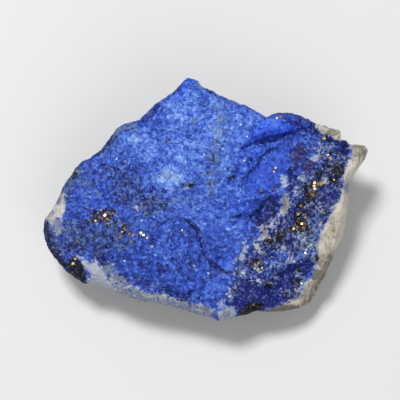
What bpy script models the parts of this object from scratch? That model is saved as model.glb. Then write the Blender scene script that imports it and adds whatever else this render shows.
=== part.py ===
"""Rough lapis lazuli: one broken lump, lying on its back with its broad blue face up.

The stone is shaped square to that face: u runs right, v runs up the face and w comes out of it.
It is then leaned back, cut flat where it rests, and centred over the origin.
Lists of points and heights are in millimetres.
"""

import math
from bisect import bisect_right
from collections import namedtuple

import bmesh
import bpy
from mathutils import Matrix, Vector, noise

MM = 0.001

# Driving dimensions: the length over all, the face's height above the floor at its middle,
# and how far the stone leans back from lying face-up
LENGTH = 55.0 * MM
BODY_DEPTH = 16.5 * MM
LEAN = math.radians(15)

# Fineness: the grid that the relief is laid on, and the triangles that are kept in the end
WORKING_VOXEL = 0.42 * MM
TRIANGLES = 7600

# Outer edge of the stone seen square to its face, clockwise from the peak
OUTLINE = [
    (-2.9, 20.3), (-1.3, 19.8), (-0.3, 18.7), (1.3, 18.0), (2.6, 17.0), (4.3, 16.5),
    (6.1, 15.8), (8.4, 14.7), (10.4, 13.8), (12.4, 14.5), (14.3, 14.3), (16.3, 13.7),
    (17.9, 12.7), (19.9, 11.8), (22.3, 11.2), (22.4, 10.0), (24.4, 9.3), (26.8, 8.5),
    (27.1, 7.5), (25.8, 5.0), (24.4, 2.5), (24.1, -0.2), (23.6, -3.8), (22.3, -8.0),
    (20.9, -10.8), (19.1, -14.0), (17.3, -17.2), (15.6, -18.2), (12.9, -18.7), (9.9, -18.8),
    (7.8, -18.8), (6.3, -19.7), (4.3, -20.0), (2.1, -20.3), (0.1, -19.5), (-2.6, -18.8),
    (-5.6, -18.0), (-9.3, -17.5), (-11.8, -16.7), (-14.8, -15.5), (-17.6, -14.8), (-20.1, -14.3),
    (-21.9, -13.0), (-23.9, -11.2), (-25.6, -9.3), (-26.6, -7.3), (-27.1, -4.8), (-26.8, -3.0),
    (-25.4, -1.0), (-24.3, 1.5), (-22.8, 3.8), (-21.1, 6.2), (-19.3, 7.0), (-17.8, 8.3),
    (-15.8, 10.3), (-14.8, 12.0), (-13.3, 12.8), (-11.3, 13.2), (-9.3, 14.7), (-8.3, 16.2),
    (-5.9, 17.5), (-4.1, 19.3),
]

# Where the broad face turns over into the flanks
FACE_EDGE = [
    (-2.6, 19.6), (-0.6, 17.9), (2.7, 16.3), (6.5, 15.0), (10.4, 13.3), (13.2, 12.6),
    (16.5, 11.9), (19.0, 10.6), (21.5, 9.6), (23.7, 8.7), (23.8, 6.4), (23.0, 3.9),
    (22.4, 1.4), (21.9, -0.6), (20.9, -2.3), (19.8, -4.6), (18.9, -7.0), (18.7, -9.4),
    (18.2, -11.6), (16.6, -13.0), (15.3, -14.9), (14.0, -16.6), (12.0, -17.8), (9.9, -18.2),
    (7.5, -18.2), (5.7, -18.9), (3.7, -19.4), (1.6, -18.5), (-1.0, -17.5), (-3.5, -16.7),
    (-6.8, -16.2), (-9.6, -15.2), (-12.1, -14.2), (-13.6, -12.9), (-15.1, -11.4), (-17.6, -10.5),
    (-20.0, -10.4), (-22.0, -10.3), (-23.6, -9.3), (-24.7, -7.8), (-25.3, -6.3), (-25.5, -4.8),
    (-25.3, -2.9), (-24.6, -1.1), (-23.7, 0.6), (-22.6, 2.6), (-21.3, 4.6), (-19.9, 6.1),
    (-17.9, 7.2), (-16.2, 8.6), (-14.8, 10.3), (-13.8, 11.7), (-11.2, 12.4), (-9.2, 13.6),
    (-7.6, 15.4), (-5.1, 17.2),
]

# How far behind the face's middle the outer edge lies, by direction in degrees from the right
OUTLINE_DEPTH = [
    (-165, 6.0), (-130, 5.4), (-95, 5.2), (-60, 8.2), (-25, 9.0), (10, 7.6), (30, 7.4), (48, 6.6),
    (60, 4.8), (95, 3.6), (140, 3.8), (170, 5.2),
]

# The broad face is worn flat facets: each passes through a point and falls away along a heading
Facet = namedtuple("Facet", "point heading slope")
FACETS = [
    Facet((0.0, 0.0, 0.0), heading=270, slope=0.01),
    Facet((-7.0, 0.0, 0.0), heading=190, slope=0.13),
    Facet((0.0, -7.0, 0.0), heading=265, slope=0.10),
    Facet((-2.0, 9.0, 0.0), heading=100, slope=0.09),
    Facet((2.7, -18.8, -0.7), heading=-29, slope=0.40),
    Facet((19.0, 9.0, -2.9), heading=42, slope=0.55),
    Facet((16.0, 12.2, -1.2), heading=72, slope=1.1),
]
FACET_WEAR = 0.28

# How a ball's way from its top pole to its bottom pole is shared out over the stone
FACE_SHARE = 0.36
FLANK_SHARE = 0.48
BALL_COLUMNS = 220
BALL_ROWS = 110

# Side walls and underside: share of the outline's reach, and share of the way down to the floor
UNDERSIDE = [(1.0, 0.0), (0.985, 0.28), (0.92, 0.68), (0.80, 1.05), (0.55, 1.3), (0.0, 1.4)]

# Fractures that broke the underside: heading in degrees, and how steeply each faces down
FRACTURES = [
    (-172, 33), (-140, 45), (-108, 50), (-70, 34), (-38, 30), (-8, 26), (22, 38), (52, 29),
    (84, 24), (112, 32), (146, 26), (-20, 55), (70, 52), (128, 54), (180, 58), (-60, 60),
]

# Steps on the face, each a line with one side higher: the drop, the width of the riser,
# and how far from the line the low ground has come back up
LOW_ON_RIGHT = 1
LOW_ON_LEFT = -1
Step = namedtuple("Step", "line low_side drop riser reach")
STEPS = [
    # Brow over the groove at the upper right
    Step([(19.5, 10.6), (16.8, 10.9), (13.5, 10.4), (10.2, 9.8), (7.6, 9.0), (5.6, 8.1)],
         LOW_ON_LEFT, drop=1.3, riser=1.3, reach=5.5),
    # Edge of the plate that broke away right of the middle
    Step([(14.5, 9.0), (12.4, 8.5), (10.6, 8.2), (9.1, 7.4), (8.6, 5.7), (7.2, 4.6), (6.3, 3.4),
          (6.2, 1.5), (5.9, 0.0)],
         LOW_ON_LEFT, drop=0.95, riser=0.7, reach=7.0),
    # Short step in the middle
    Step([(4.0, -3.2), (5.5, -2.5), (7.5, -2.1), (9.6, -1.0)],
         LOW_ON_RIGHT, drop=0.4, riser=0.6, reach=3.0),
    # Long curved crack below the middle, higher on its right
    Step([(-3.6, -3.0), (-1.9, -4.0), (-1.0, -5.4), (-0.7, -7.2), (-0.1, -9.2), (0.6, -10.6),
          (2.0, -11.6), (3.4, -12.2), (5.0, -12.4)],
         LOW_ON_RIGHT, drop=0.95, riser=0.9, reach=5.0),
    # Dark shelf at the lower right
    Step([(9.0, -15.3), (10.7, -13.6), (12.6, -12.3), (14.6, -11.6), (16.8, -10.7), (18.6, -9.6)],
         LOW_ON_RIGHT, drop=0.9, riser=1.3, reach=4.5),
]
STEP_ENDS = 0.16

# Cracks, each a groove along a line
Crack = namedtuple("Crack", "line depth half_width")
CRACKS = [
    Crack([(-0.8, 18.6), (-0.3, 17.0), (0.1, 15.4), (-0.2, 13.8)], depth=0.5, half_width=0.55),
    Crack([(-3.3, 10.2), (-2.1, 11.0), (-1.2, 11.7)], depth=0.45, half_width=0.4),
    Crack([(-14.5, 7.6), (-12.4, 6.0), (-10.6, 5.4), (-9.6, 3.4)], depth=0.4, half_width=0.6),
    Crack([(14.2, 8.4), (14.0, 5.4), (13.2, 3.2), (12.0, 1.4)], depth=0.5, half_width=0.7),
]
CRACK_ENDS = 0.2

# Swells and, below zero, hollows: middle, reach along u and v, and height
Swell = namedtuple("Swell", "middle reach rise")
SWELLS = [
    Swell((-5.0, 5.5), (9.0, 8.5), 0.55),
    Swell((12.5, 12.4), (5.5, 1.9), 0.55),
    Swell((-19.0, 1.0), (5.0, 4.5), 0.55),
    Swell((10.3, -1.6), (2.6, 3.6), -1.1),
    Swell((16.4, 7.4), (2.6, 2.6), -0.7),
    Swell((10.0, 3.2), (4.6, 5.5), -0.6),
    Swell((-13.0, 3.0), (4.5, 4.0), -0.4),
    Swell((-14.0, -5.0), (5.5, 4.5), 0.3),
    Swell((-6.0, -9.0), (6.5, 5.5), 0.35),
    Swell((-21.5, -12.0), (2.4, 1.8), -0.7),
    Swell((8.4, -18.6), (2.6, 2.2), -1.3),
    Swell((4.4, 3.4), (1.1, 1.1), -0.4),
    Swell((6.4, 4.9), (1.5, 1.2), -0.35),
]

# Roughness of broken stone: size and height of its chips and of its lumps
CHIPS = [(8.5, 0.32), (4.2, 0.30), (2.0, 0.26)]
LUMPS = [(6.0, 0.28), (2.2, 0.16)]
FACE_CHIP_SHARE = 0.5

# How squarely a surface looks out of the face before it starts to take relief, and takes it all
RELIEF_STARTS = 0.35
RELIEF_FULL = 0.75

STONE_BLUE = (0.055, 0.10, 0.44, 1.0)
STONE_ROUGHNESS = 0.7


def clear_scene():
    for obj in list(bpy.data.objects):
        bpy.data.objects.remove(obj)


def ease(low, high, value):
    """Rises smoothly from 0 at the low value to 1 at the high one."""
    t = min(max((value - low) / (high - low), 0.0), 1.0)
    return t * t * (3 - 2 * t)


def by_direction(pairs):
    """A function that reads the second value of the pairs at any angle in degrees, all the way round."""
    pairs = sorted(pairs)
    pairs = [(pairs[-1][0] - 360, pairs[-1][1]), *pairs, (pairs[0][0] + 360, pairs[0][1])]
    angles = [angle for angle, _ in pairs]

    def read(angle):
        k = bisect_right(angles, angle)
        (angle_a, value_a), (angle_b, value_b) = pairs[k - 1], pairs[k]
        return value_a + (value_b - value_a) * (angle - angle_a) / (angle_b - angle_a)

    return read


def angle_of(u, v):
    return math.degrees(math.atan2(v, u))


def reach_of(points):
    """How far a closed line lies from the face's middle, by direction."""
    return by_direction([(angle_of(u, v), math.hypot(u, v)) for u, v in points])


outline_reach = reach_of(OUTLINE)
face_reach = reach_of(FACE_EDGE)
outline_depth = by_direction(OUTLINE_DEPTH)


def heading_vector(degrees):
    return Vector((math.cos(math.radians(degrees)), math.sin(math.radians(degrees))))


def face_height(spot):
    """Height of the broad face: its lowest facet at each spot, with the ridges between them worn."""
    total = 0.0
    for facet in FACETS:
        along = (spot - Vector(facet.point[:2])).dot(heading_vector(facet.heading))
        total += math.exp(-(facet.point[2] - facet.slope * along) / FACET_WEAR)
    return -FACET_WEAR * math.log(total)


def floor_height(v):
    """Height at which the floor lies behind a point of the face."""
    return -(BODY_DEPTH / MM + v * math.sin(LEAN)) / math.cos(LEAN)


def face_point(angle, share):
    spot = heading_vector(angle) * face_reach(angle) * share
    return spot, face_height(spot)


def flank_point(angle, share):
    """Between the face's edge and the outer edge, rounded over like a broken corner."""
    edge, top = face_point(angle, 1.0)
    far = heading_vector(angle) * outline_reach(angle)
    out = math.sin(share * math.pi / 2) ** 0.8
    down = (1 - math.cos(share * math.pi / 2)) ** 0.8
    return edge + (far - edge) * out, top + (-outline_depth(angle) - top) * down


def underside_point(angle, share):
    along = share * (len(UNDERSIDE) - 1)
    k = min(int(along), len(UNDERSIDE) - 2)
    (reach_a, fall_a), (reach_b, fall_b) = UNDERSIDE[k], UNDERSIDE[k + 1]
    reach = reach_a + (reach_b - reach_a) * (along - k)
    fall = fall_a + (fall_b - fall_a) * (along - k)
    spot = heading_vector(angle) * outline_reach(angle) * reach
    rim = -outline_depth(angle)
    return spot, rim + fall * (floor_height(spot.y) - rim)


def shape_blank():
    """A ball whose front is pressed to the broad face and whose back fills the outline."""
    bm = bmesh.new()
    bmesh.ops.create_uvsphere(bm, u_segments=BALL_COLUMNS, v_segments=BALL_ROWS, radius=1.0)
    for vert in bm.verts:
        angle = angle_of(vert.co.x, vert.co.y)
        down = math.acos(min(max(vert.co.z, -1.0), 1.0)) / math.pi
        if down <= FACE_SHARE:
            spot, height = face_point(angle, down / FACE_SHARE)
        elif down <= FLANK_SHARE:
            spot, height = flank_point(angle, (down - FACE_SHARE) / (FLANK_SHARE - FACE_SHARE))
        else:
            spot, height = underside_point(angle, (down - FLANK_SHARE) / (1 - FLANK_SHARE))
        vert.co = Vector((spot.x, spot.y, height)) * MM
    return bm


def break_underside(bm):
    """Each fracture takes off what reaches past the outer edge on its side."""
    rim = [Vector((u, v, -outline_depth(angle_of(u, v)))) * MM for u, v in OUTLINE]
    for heading, dip in FRACTURES:
        facing = (heading_vector(heading) * math.cos(math.radians(dip))).to_3d()
        facing.z = -math.sin(math.radians(dip))
        reach = max(point.dot(facing) for point in rim)
        everything = bm.verts[:] + bm.edges[:] + bm.faces[:]
        bmesh.ops.bisect_plane(
            bm, geom=everything, plane_co=facing * reach, plane_no=facing, clear_outer=True
        )
        close_holes(bm)
    bmesh.ops.recalc_face_normals(bm, faces=bm.faces)


def close_holes(bm):
    bmesh.ops.holes_fill(bm, edges=[edge for edge in bm.edges if edge.is_boundary])


def mesh_object(bm, name):
    mesh = bpy.data.meshes.new(name)
    bm.to_mesh(mesh)
    bm.free()
    obj = bpy.data.objects.new(name, mesh)
    bpy.context.scene.collection.objects.link(obj)
    return obj


def apply_modifiers(obj):
    graph = bpy.context.evaluated_depsgraph_get()
    mesh = bpy.data.meshes.new_from_object(obj.evaluated_get(graph))
    obj.modifiers.clear()
    obj.data = mesh


def even_out(obj):
    """One closed skin of small even quads."""
    remesh = obj.modifiers.new("even_skin", "REMESH")
    remesh.mode = "VOXEL"
    remesh.voxel_size = WORKING_VOXEL
    apply_modifiers(obj)


def from_line(u, v, line):
    """Distance to a line, above zero on its right, and the share of the line passed at the nearest point."""
    nearest = math.inf
    for k, ((au, av), (bu, bv)) in enumerate(zip(line, line[1:], strict=False)):
        du, dv = bu - au, bv - av
        t = min(max(((u - au) * du + (v - av) * dv) / (du * du + dv * dv), 0.0), 1.0)
        gap = math.hypot(u - au - t * du, v - av - t * dv)
        if gap < nearest:
            nearest = gap
            signed = math.copysign(gap, (u - au) * dv - (v - av) * du)
            passed = (k + t) / (len(line) - 1)
    return signed, passed


def fade_at_ends(passed, share):
    return ease(0.0, share, passed) * ease(0.0, share, 1 - passed)


def relief(u, v):
    """Height added to the broad face by its steps, cracks, swells and hollows."""
    height = 0.0
    for step in STEPS:
        gap, passed = from_line(u, v, step.line)
        gap *= step.low_side
        sunk = ease(-step.riser / 2, step.riser / 2, gap) * (1 - ease(step.riser, step.reach, gap))
        height -= step.drop * sunk * fade_at_ends(passed, STEP_ENDS)
    for crack in CRACKS:
        gap, passed = from_line(u, v, crack.line)
        height -= crack.depth * math.exp(-((gap / crack.half_width) ** 2)) * fade_at_ends(passed, CRACK_ENDS)
    for swell in SWELLS:
        off = ((u - swell.middle[0]) / swell.reach[0]) ** 2 + ((v - swell.middle[1]) / swell.reach[1]) ** 2
        height += swell.rise * max(1 - off, 0.0) ** 2
    return height


def chipped(point):
    """Small tilted flats, each cell of the stone with a slope of its own."""
    height = 0.0
    for size, rise in CHIPS:
        centre = noise.voronoi(point / size)[1][0]
        slope = noise.cell_vector(centre * 97.0) - Vector((0.5, 0.5, 0.5))
        height += rise * (point / size - centre).dot(slope)
    return height


def lumpy(point):
    return sum(rise * noise.fractal(point / size, 1.0, 2.1, 3) for size, rise in LUMPS)


def roughen(obj):
    """Moves every point by chips and lumps, and on the broad face by its relief as well."""
    moves = []
    for vert in obj.data.vertices:
        point = vert.co / MM
        front = ease(RELIEF_STARTS, RELIEF_FULL, vert.normal.z)
        chips = chipped(point) * (1 - (1 - FACE_CHIP_SHARE) * front)
        move = vert.normal * (chips + lumpy(point))
        move.z += front * relief(point.x, point.y)
        moves.append(move * MM)
    for vert, move in zip(obj.data.vertices, moves, strict=True):
        vert.co += move


def thin_out(obj):
    obj.data.calc_loop_triangles()
    decimate = obj.modifiers.new("fewer_faces", "DECIMATE")
    decimate.ratio = TRIANGLES / len(obj.data.loop_triangles)
    decimate.use_collapse_triangulate = True
    apply_modifiers(obj)


def drop_dents(bm):
    """Keeps the largest connected skin: the floor cut leaves each dent in the resting face on its own."""
    unseen = set(bm.verts)
    skins = []
    while unseen:
        skin = {unseen.pop()}
        newest = set(skin)
        while newest:
            newest = {edge.other_vert(vert) for vert in newest for edge in vert.link_edges} - skin
            skin |= newest
        unseen -= skin
        skins.append(skin)
    skins.sort(key=len)
    for skin in skins[:-1]:
        bmesh.ops.delete(bm, geom=list(skin), context="VERTS")


def set_down(obj):
    """Leans the stone back onto the floor, cuts its resting face flat and centres it over the origin."""
    bm = bmesh.new()
    bm.from_mesh(obj.data)
    bm.transform(Matrix.Translation((0, 0, BODY_DEPTH)) @ Matrix.Rotation(LEAN, 4, "X"))
    everything = bm.verts[:] + bm.edges[:] + bm.faces[:]
    cut = bmesh.ops.bisect_plane(
        bm, geom=everything, dist=0.02 * MM, plane_co=(0, 0, 0), plane_no=(0, 0, -1), clear_outer=True
    )
    for part in cut["geom_cut"]:
        if isinstance(part, bmesh.types.BMVert):
            part.co.z = 0.0
    drop_dents(bm)
    close_holes(bm)
    bmesh.ops.triangulate(bm, faces=[face for face in bm.faces if len(face.verts) > 3])
    left, right = (end(vert.co.x for vert in bm.verts) for end in (min, max))
    near, far = (end(vert.co.y for vert in bm.verts) for end in (min, max))
    bmesh.ops.translate(bm, verts=bm.verts, vec=(-(left + right) / 2, -(near + far) / 2, 0))
    bmesh.ops.scale(bm, verts=bm.verts, vec=[LENGTH / (right - left)] * 3)
    bm.to_mesh(obj.data)
    bm.free()


def paint(obj):
    material = bpy.data.materials.new("lapis")
    material.use_nodes = True
    shader = material.node_tree.nodes["Principled BSDF"]
    shader.inputs["Base Color"].default_value = STONE_BLUE
    shader.inputs["Roughness"].default_value = STONE_ROUGHNESS
    shader.inputs["Metallic"].default_value = 0.0
    obj.data.materials.clear()
    obj.data.materials.append(material)


def file_under(obj, name):
    collection = bpy.data.collections.new(name)
    bpy.context.scene.collection.children.link(collection)
    bpy.context.scene.collection.objects.unlink(obj)
    collection.objects.link(obj)


def main():
    clear_scene()
    blank = shape_blank()
    break_underside(blank)
    stone = mesh_object(blank, "lapis_stone")
    even_out(stone)
    roughen(stone)
    thin_out(stone)
    set_down(stone)
    paint(stone)
    file_under(stone, "rough_lapis_lazuli")


main()
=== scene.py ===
"""Rough lapis lazuli: the finish of the stone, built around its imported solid."""

import math
from collections import namedtuple

import bmesh
import bpy
import numpy as np
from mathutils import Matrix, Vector
from mathutils.bvhtree import BVHTree


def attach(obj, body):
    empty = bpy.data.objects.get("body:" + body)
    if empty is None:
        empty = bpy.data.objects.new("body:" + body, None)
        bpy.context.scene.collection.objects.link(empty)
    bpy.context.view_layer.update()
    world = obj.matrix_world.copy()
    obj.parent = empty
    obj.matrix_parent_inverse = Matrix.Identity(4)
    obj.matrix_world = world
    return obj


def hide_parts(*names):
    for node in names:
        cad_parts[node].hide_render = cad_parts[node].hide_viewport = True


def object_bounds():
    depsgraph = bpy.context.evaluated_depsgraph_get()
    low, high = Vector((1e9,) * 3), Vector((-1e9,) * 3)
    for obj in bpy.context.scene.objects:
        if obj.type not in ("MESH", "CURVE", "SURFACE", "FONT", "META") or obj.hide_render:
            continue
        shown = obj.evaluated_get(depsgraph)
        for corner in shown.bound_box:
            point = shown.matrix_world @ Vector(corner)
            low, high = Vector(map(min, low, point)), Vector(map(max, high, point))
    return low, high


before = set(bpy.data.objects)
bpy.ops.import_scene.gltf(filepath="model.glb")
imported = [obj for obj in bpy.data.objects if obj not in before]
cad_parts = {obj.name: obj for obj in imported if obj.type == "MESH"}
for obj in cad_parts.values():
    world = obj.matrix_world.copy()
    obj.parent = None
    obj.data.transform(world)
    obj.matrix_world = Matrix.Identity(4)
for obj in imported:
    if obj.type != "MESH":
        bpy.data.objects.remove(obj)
cad_low, cad_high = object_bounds()

MM = 0.001

# The view. The stone lies on its back, leaned by 15 degrees, and is looked at square to its broad
# face from close by. Every vein, crack and grain below is placed where it is seen in this view, in
# pixels of a picture 400 wide and 400 high, and sits on the stone's own surface.
PICTURE = 400
LEAN = math.radians(15)
EYE_DISTANCE = 240 * MM
FIELD = 66.4 * MM
SENSOR = 36.0
FACE_MIDDLE = Vector((0.1, -1.0, 16.8)) * MM
AIM_OFF_MIDDLE = (-0.93 * MM, -0.2 * MM)

view_right = Vector((1, 0, 0))
view_up = Vector((0, math.cos(LEAN), math.sin(LEAN)))
view_back = Vector((0, -math.sin(LEAN), math.cos(LEAN)))
aim = FACE_MIDDLE + view_right * AIM_OFF_MIDDLE[0] + view_up * AIM_OFF_MIDDLE[1]
eye = aim + view_back * EYE_DISTANCE

camera_data = bpy.data.cameras.new("stone_camera")
camera_data.sensor_width = SENSOR
camera_data.lens = SENSOR * EYE_DISTANCE / FIELD
camera_data.clip_start = 10 * MM
camera_data.clip_end = 5.0
camera = bpy.data.objects.new("stone_camera", camera_data)
camera.location = eye
camera.rotation_euler = (-view_back).to_track_quat("-Z", "Y").to_euler()
bpy.context.scene.collection.objects.link(camera)
bpy.context.scene.camera = camera

PIXELS_PER_UNIT_SLOPE = PICTURE * EYE_DISTANCE / FIELD


def seen_at(points):
    """Where points of the stone are seen in the picture, as columns x and y."""
    away = points - np.array(eye)
    depth = -away @ np.array(view_back)
    x = PICTURE / 2 + PIXELS_PER_UNIT_SLOPE * (away @ np.array(view_right)) / depth
    y = PICTURE / 2 - PIXELS_PER_UNIT_SLOPE * (away @ np.array(view_up)) / depth
    return np.column_stack((x, y))


# The stone's skin. One lump of lazurite rock, broken and not cut: its solid is taken over, made
# fine enough for the grain, and eased where the solid's faces meet. The back, past a slope that
# turns away from the eye, keeps fewer faces.
SKIN_VOXEL = 0.186 * MM
SKIN_EASING = 0.5
EASING_TURNS = 3
WELD = 0.001 * MM
BACK_STARTS = -0.12
BACK_SHARE_KEPT = 0.57

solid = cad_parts["lapis_stone"]
joined = bmesh.new()
joined.from_mesh(solid.data)
bmesh.ops.remove_doubles(joined, verts=joined.verts, dist=WELD)
skin_mesh = bpy.data.meshes.new("lapis_skin")
joined.to_mesh(skin_mesh)
joined.free()
stone = bpy.data.objects.new("rough_lapis", skin_mesh)
bpy.context.scene.collection.objects.link(stone)


def settle(obj):
    """Makes the object's mesh what its modifiers show, and takes the modifiers off."""
    graph = bpy.context.evaluated_depsgraph_get()
    mesh = bpy.data.meshes.new_from_object(obj.evaluated_get(graph))
    obj.modifiers.clear()
    obj.data = mesh


def read_points(mesh, name):
    """The places ("co") or the normals ("normal") of a mesh's points, one row each."""
    values = np.zeros(len(mesh.vertices) * 3, np.float32)
    mesh.vertices.foreach_get(name, values)
    return values.reshape(-1, 3).astype(float)


def write_places(mesh, values):
    """Moves a mesh's points to new places, one row each."""
    mesh.vertices.foreach_set("co", values.astype(np.float32).ravel())
    mesh.update()


refine = stone.modifiers.new("fine_skin", "REMESH")
refine.mode = "VOXEL"
refine.voxel_size = SKIN_VOXEL
easing = stone.modifiers.new("eased", "SMOOTH")
easing.factor = SKIN_EASING
easing.iterations = EASING_TURNS
settle(stone)

facing = read_points(stone.data, "normal") @ np.array(view_back)
back = stone.vertex_groups.new(name="back")
back.add(np.nonzero(facing < BACK_STARTS)[0].tolist(), 1.0, "REPLACE")
thinning = stone.modifiers.new("plain_back", "DECIMATE")
thinning.ratio = BACK_SHARE_KEPT
thinning.vertex_group = "back"
settle(stone)
stone.vertex_groups.clear()


def ease(low, high, value):
    """Rises smoothly from 0 at the low value to 1 at the high one."""
    t = np.clip((value - low) / (high - low), 0, 1)
    return t * t * (3 - 2 * t)


# The stone's outer edge, where its broken faces meet the broad one. The skin near it is drawn out
# or in, by a share that follows the direction from the middle, until it meets the edge seen here.
EDGE_MIDDLE = np.array((205.0, 200.0))
EDGE_DRAWN_FROM = 0.72
EDGE_TURNS = 900
OUTER_EDGE = [
    (188, 77.5), (198, 80.5), (203, 86.5), (212, 90), (217, 94), (228, 99), (242.5, 104.5),
    (255, 110.5), (266, 116.5), (275, 112.5), (292, 112.8), (300, 115), (306, 118.5), (317, 123),
    (333, 127.5), (340, 130.5), (340.5, 139), (349, 141), (354, 143.5), (366, 145.5), (368, 150),
    (366, 159), (361, 166), (355, 175), (351, 182.5), (350, 195), (348, 207.5), (345.5, 225),
    (342.5, 237.5), (336, 250), (331, 262.5), (324, 277.5), (317.5, 290), (310, 302.5),
    (300, 308.5), (285, 311.5), (270, 312), (256, 311), (247.5, 313.8), (235, 317.5), (220, 320.5),
    (210, 317.5), (200, 315), (180, 308), (163, 304.5), (150, 302.5), (138, 301), (126, 296.5),
    (112, 290), (97, 286), (84, 283.5), (78, 280.5), (70, 274.5), (61, 266), (54, 257.5),
    (47.5, 248), (45, 240), (43.5, 228), (43.8, 221), (48.8, 212.5), (55, 203.8), (59.5, 195),
    (66, 182.5), (74, 171), (76.5, 166), (82, 160.5), (90, 157), (99, 151), (110, 137.5),
    (117.5, 127), (124, 123.5), (130, 122), (140, 118.8), (146, 112.5), (155, 103.8), (167.5, 96),
    (177.5, 87.5), (184, 80.5),
]


def edge_distance(turn):
    """How far the outer edge is from its middle, in a direction."""
    way = np.array((math.cos(turn), math.sin(turn)))
    best = 0.0
    for start, end in zip(OUTER_EDGE, [*OUTER_EDGE[1:], OUTER_EDGE[0]], strict=True):
        off = np.array(start) - EDGE_MIDDLE
        side = np.array(end, float) - np.array(start)
        cross = way[0] * side[1] - way[1] * side[0]
        if abs(cross) > 1e-9:
            along_way = (off[0] * side[1] - off[1] * side[0]) / cross
            along_side = (off[0] * way[1] - off[1] * way[0]) / cross
            if along_way > 0 and 0 <= along_side <= 1:
                best = max(best, along_way)
    return best


places = read_points(stone.data, "co")
seen = seen_at(places)
spoke = seen - EDGE_MIDDLE
distance = np.hypot(*spoke.T)
turn = np.arctan2(spoke[:, 1], spoke[:, 0])
sector = ((turn / math.tau + 0.5) * EDGE_TURNS).astype(int) % EDGE_TURNS
reached = np.zeros(EDGE_TURNS)
np.maximum.at(reached, sector, distance)
wide = np.maximum(reached, np.maximum(np.roll(reached, 1), np.roll(reached, -1)))
reached = (np.roll(wide, 1) + wide + np.roll(wide, -1)) / 3
turns = (np.arange(EDGE_TURNS) + 0.5) / EDGE_TURNS * math.tau - math.pi
stretch = np.array([edge_distance(angle) for angle in turns]) / reached - 1
own_stretch = np.interp(turn, turns, stretch, period=math.tau)
own_reach = np.interp(turn, turns, reached, period=math.tau)
drawn = spoke * (own_stretch * ease(EDGE_DRAWN_FROM, 1.0, distance / own_reach))[:, None]
depth = (np.array(eye) - places) @ np.array(view_back)
drawn *= (depth / PIXELS_PER_UNIT_SLOPE)[:, None]
places += drawn[:, :1] * np.array(view_right) - drawn[:, 1:] * np.array(view_up)
write_places(stone.data, places)


# Broken plates, cracks and pits that are finer than the solid's faces, cut into the skin where
# they are seen. A step drops on the right of its line as one goes along it, and then comes back.
PIXEL = FIELD / PICTURE
seen = seen_at(places)
normals = read_points(stone.data, "normal")
SEEN_FROM = -0.05
SEEN_FULLY = 0.2
ENDS_FADE = 0.15
LIP_RUN = 0.5
shown = ease(SEEN_FROM, SEEN_FULLY, normals @ np.array(view_back))


def from_line(line):
    """Distance in pixels to a line in the picture, above zero on its right, and the share passed."""
    best = np.full(len(seen), np.inf)
    side = np.zeros(len(seen))
    passed = np.zeros(len(seen))
    for k, (start, end) in enumerate(zip(line, line[1:], strict=False)):
        start = np.array(start, float)
        step = np.array(end, float) - start
        off = seen - start
        t = np.clip(off @ step / (step @ step), 0, 1)
        gap = np.hypot(*(off - t[:, None] * step).T)
        nearer = gap < best
        best[nearer] = gap[nearer]
        side[nearer] = np.sign(step[0] * off[:, 1] - step[1] * off[:, 0])[nearer]
        passed[nearer] = ((k + t) / (len(line) - 1))[nearer]
    return best * side, passed


def fade_at_ends(passed):
    return ease(0, ENDS_FADE, passed) * ease(0, ENDS_FADE, 1 - passed)


Step = namedtuple("Step", "line drop fall run lip")
Crack = namedtuple("Crack", "line depth half_width")
Pit = namedtuple("Pit", "x y radius depth")

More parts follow.
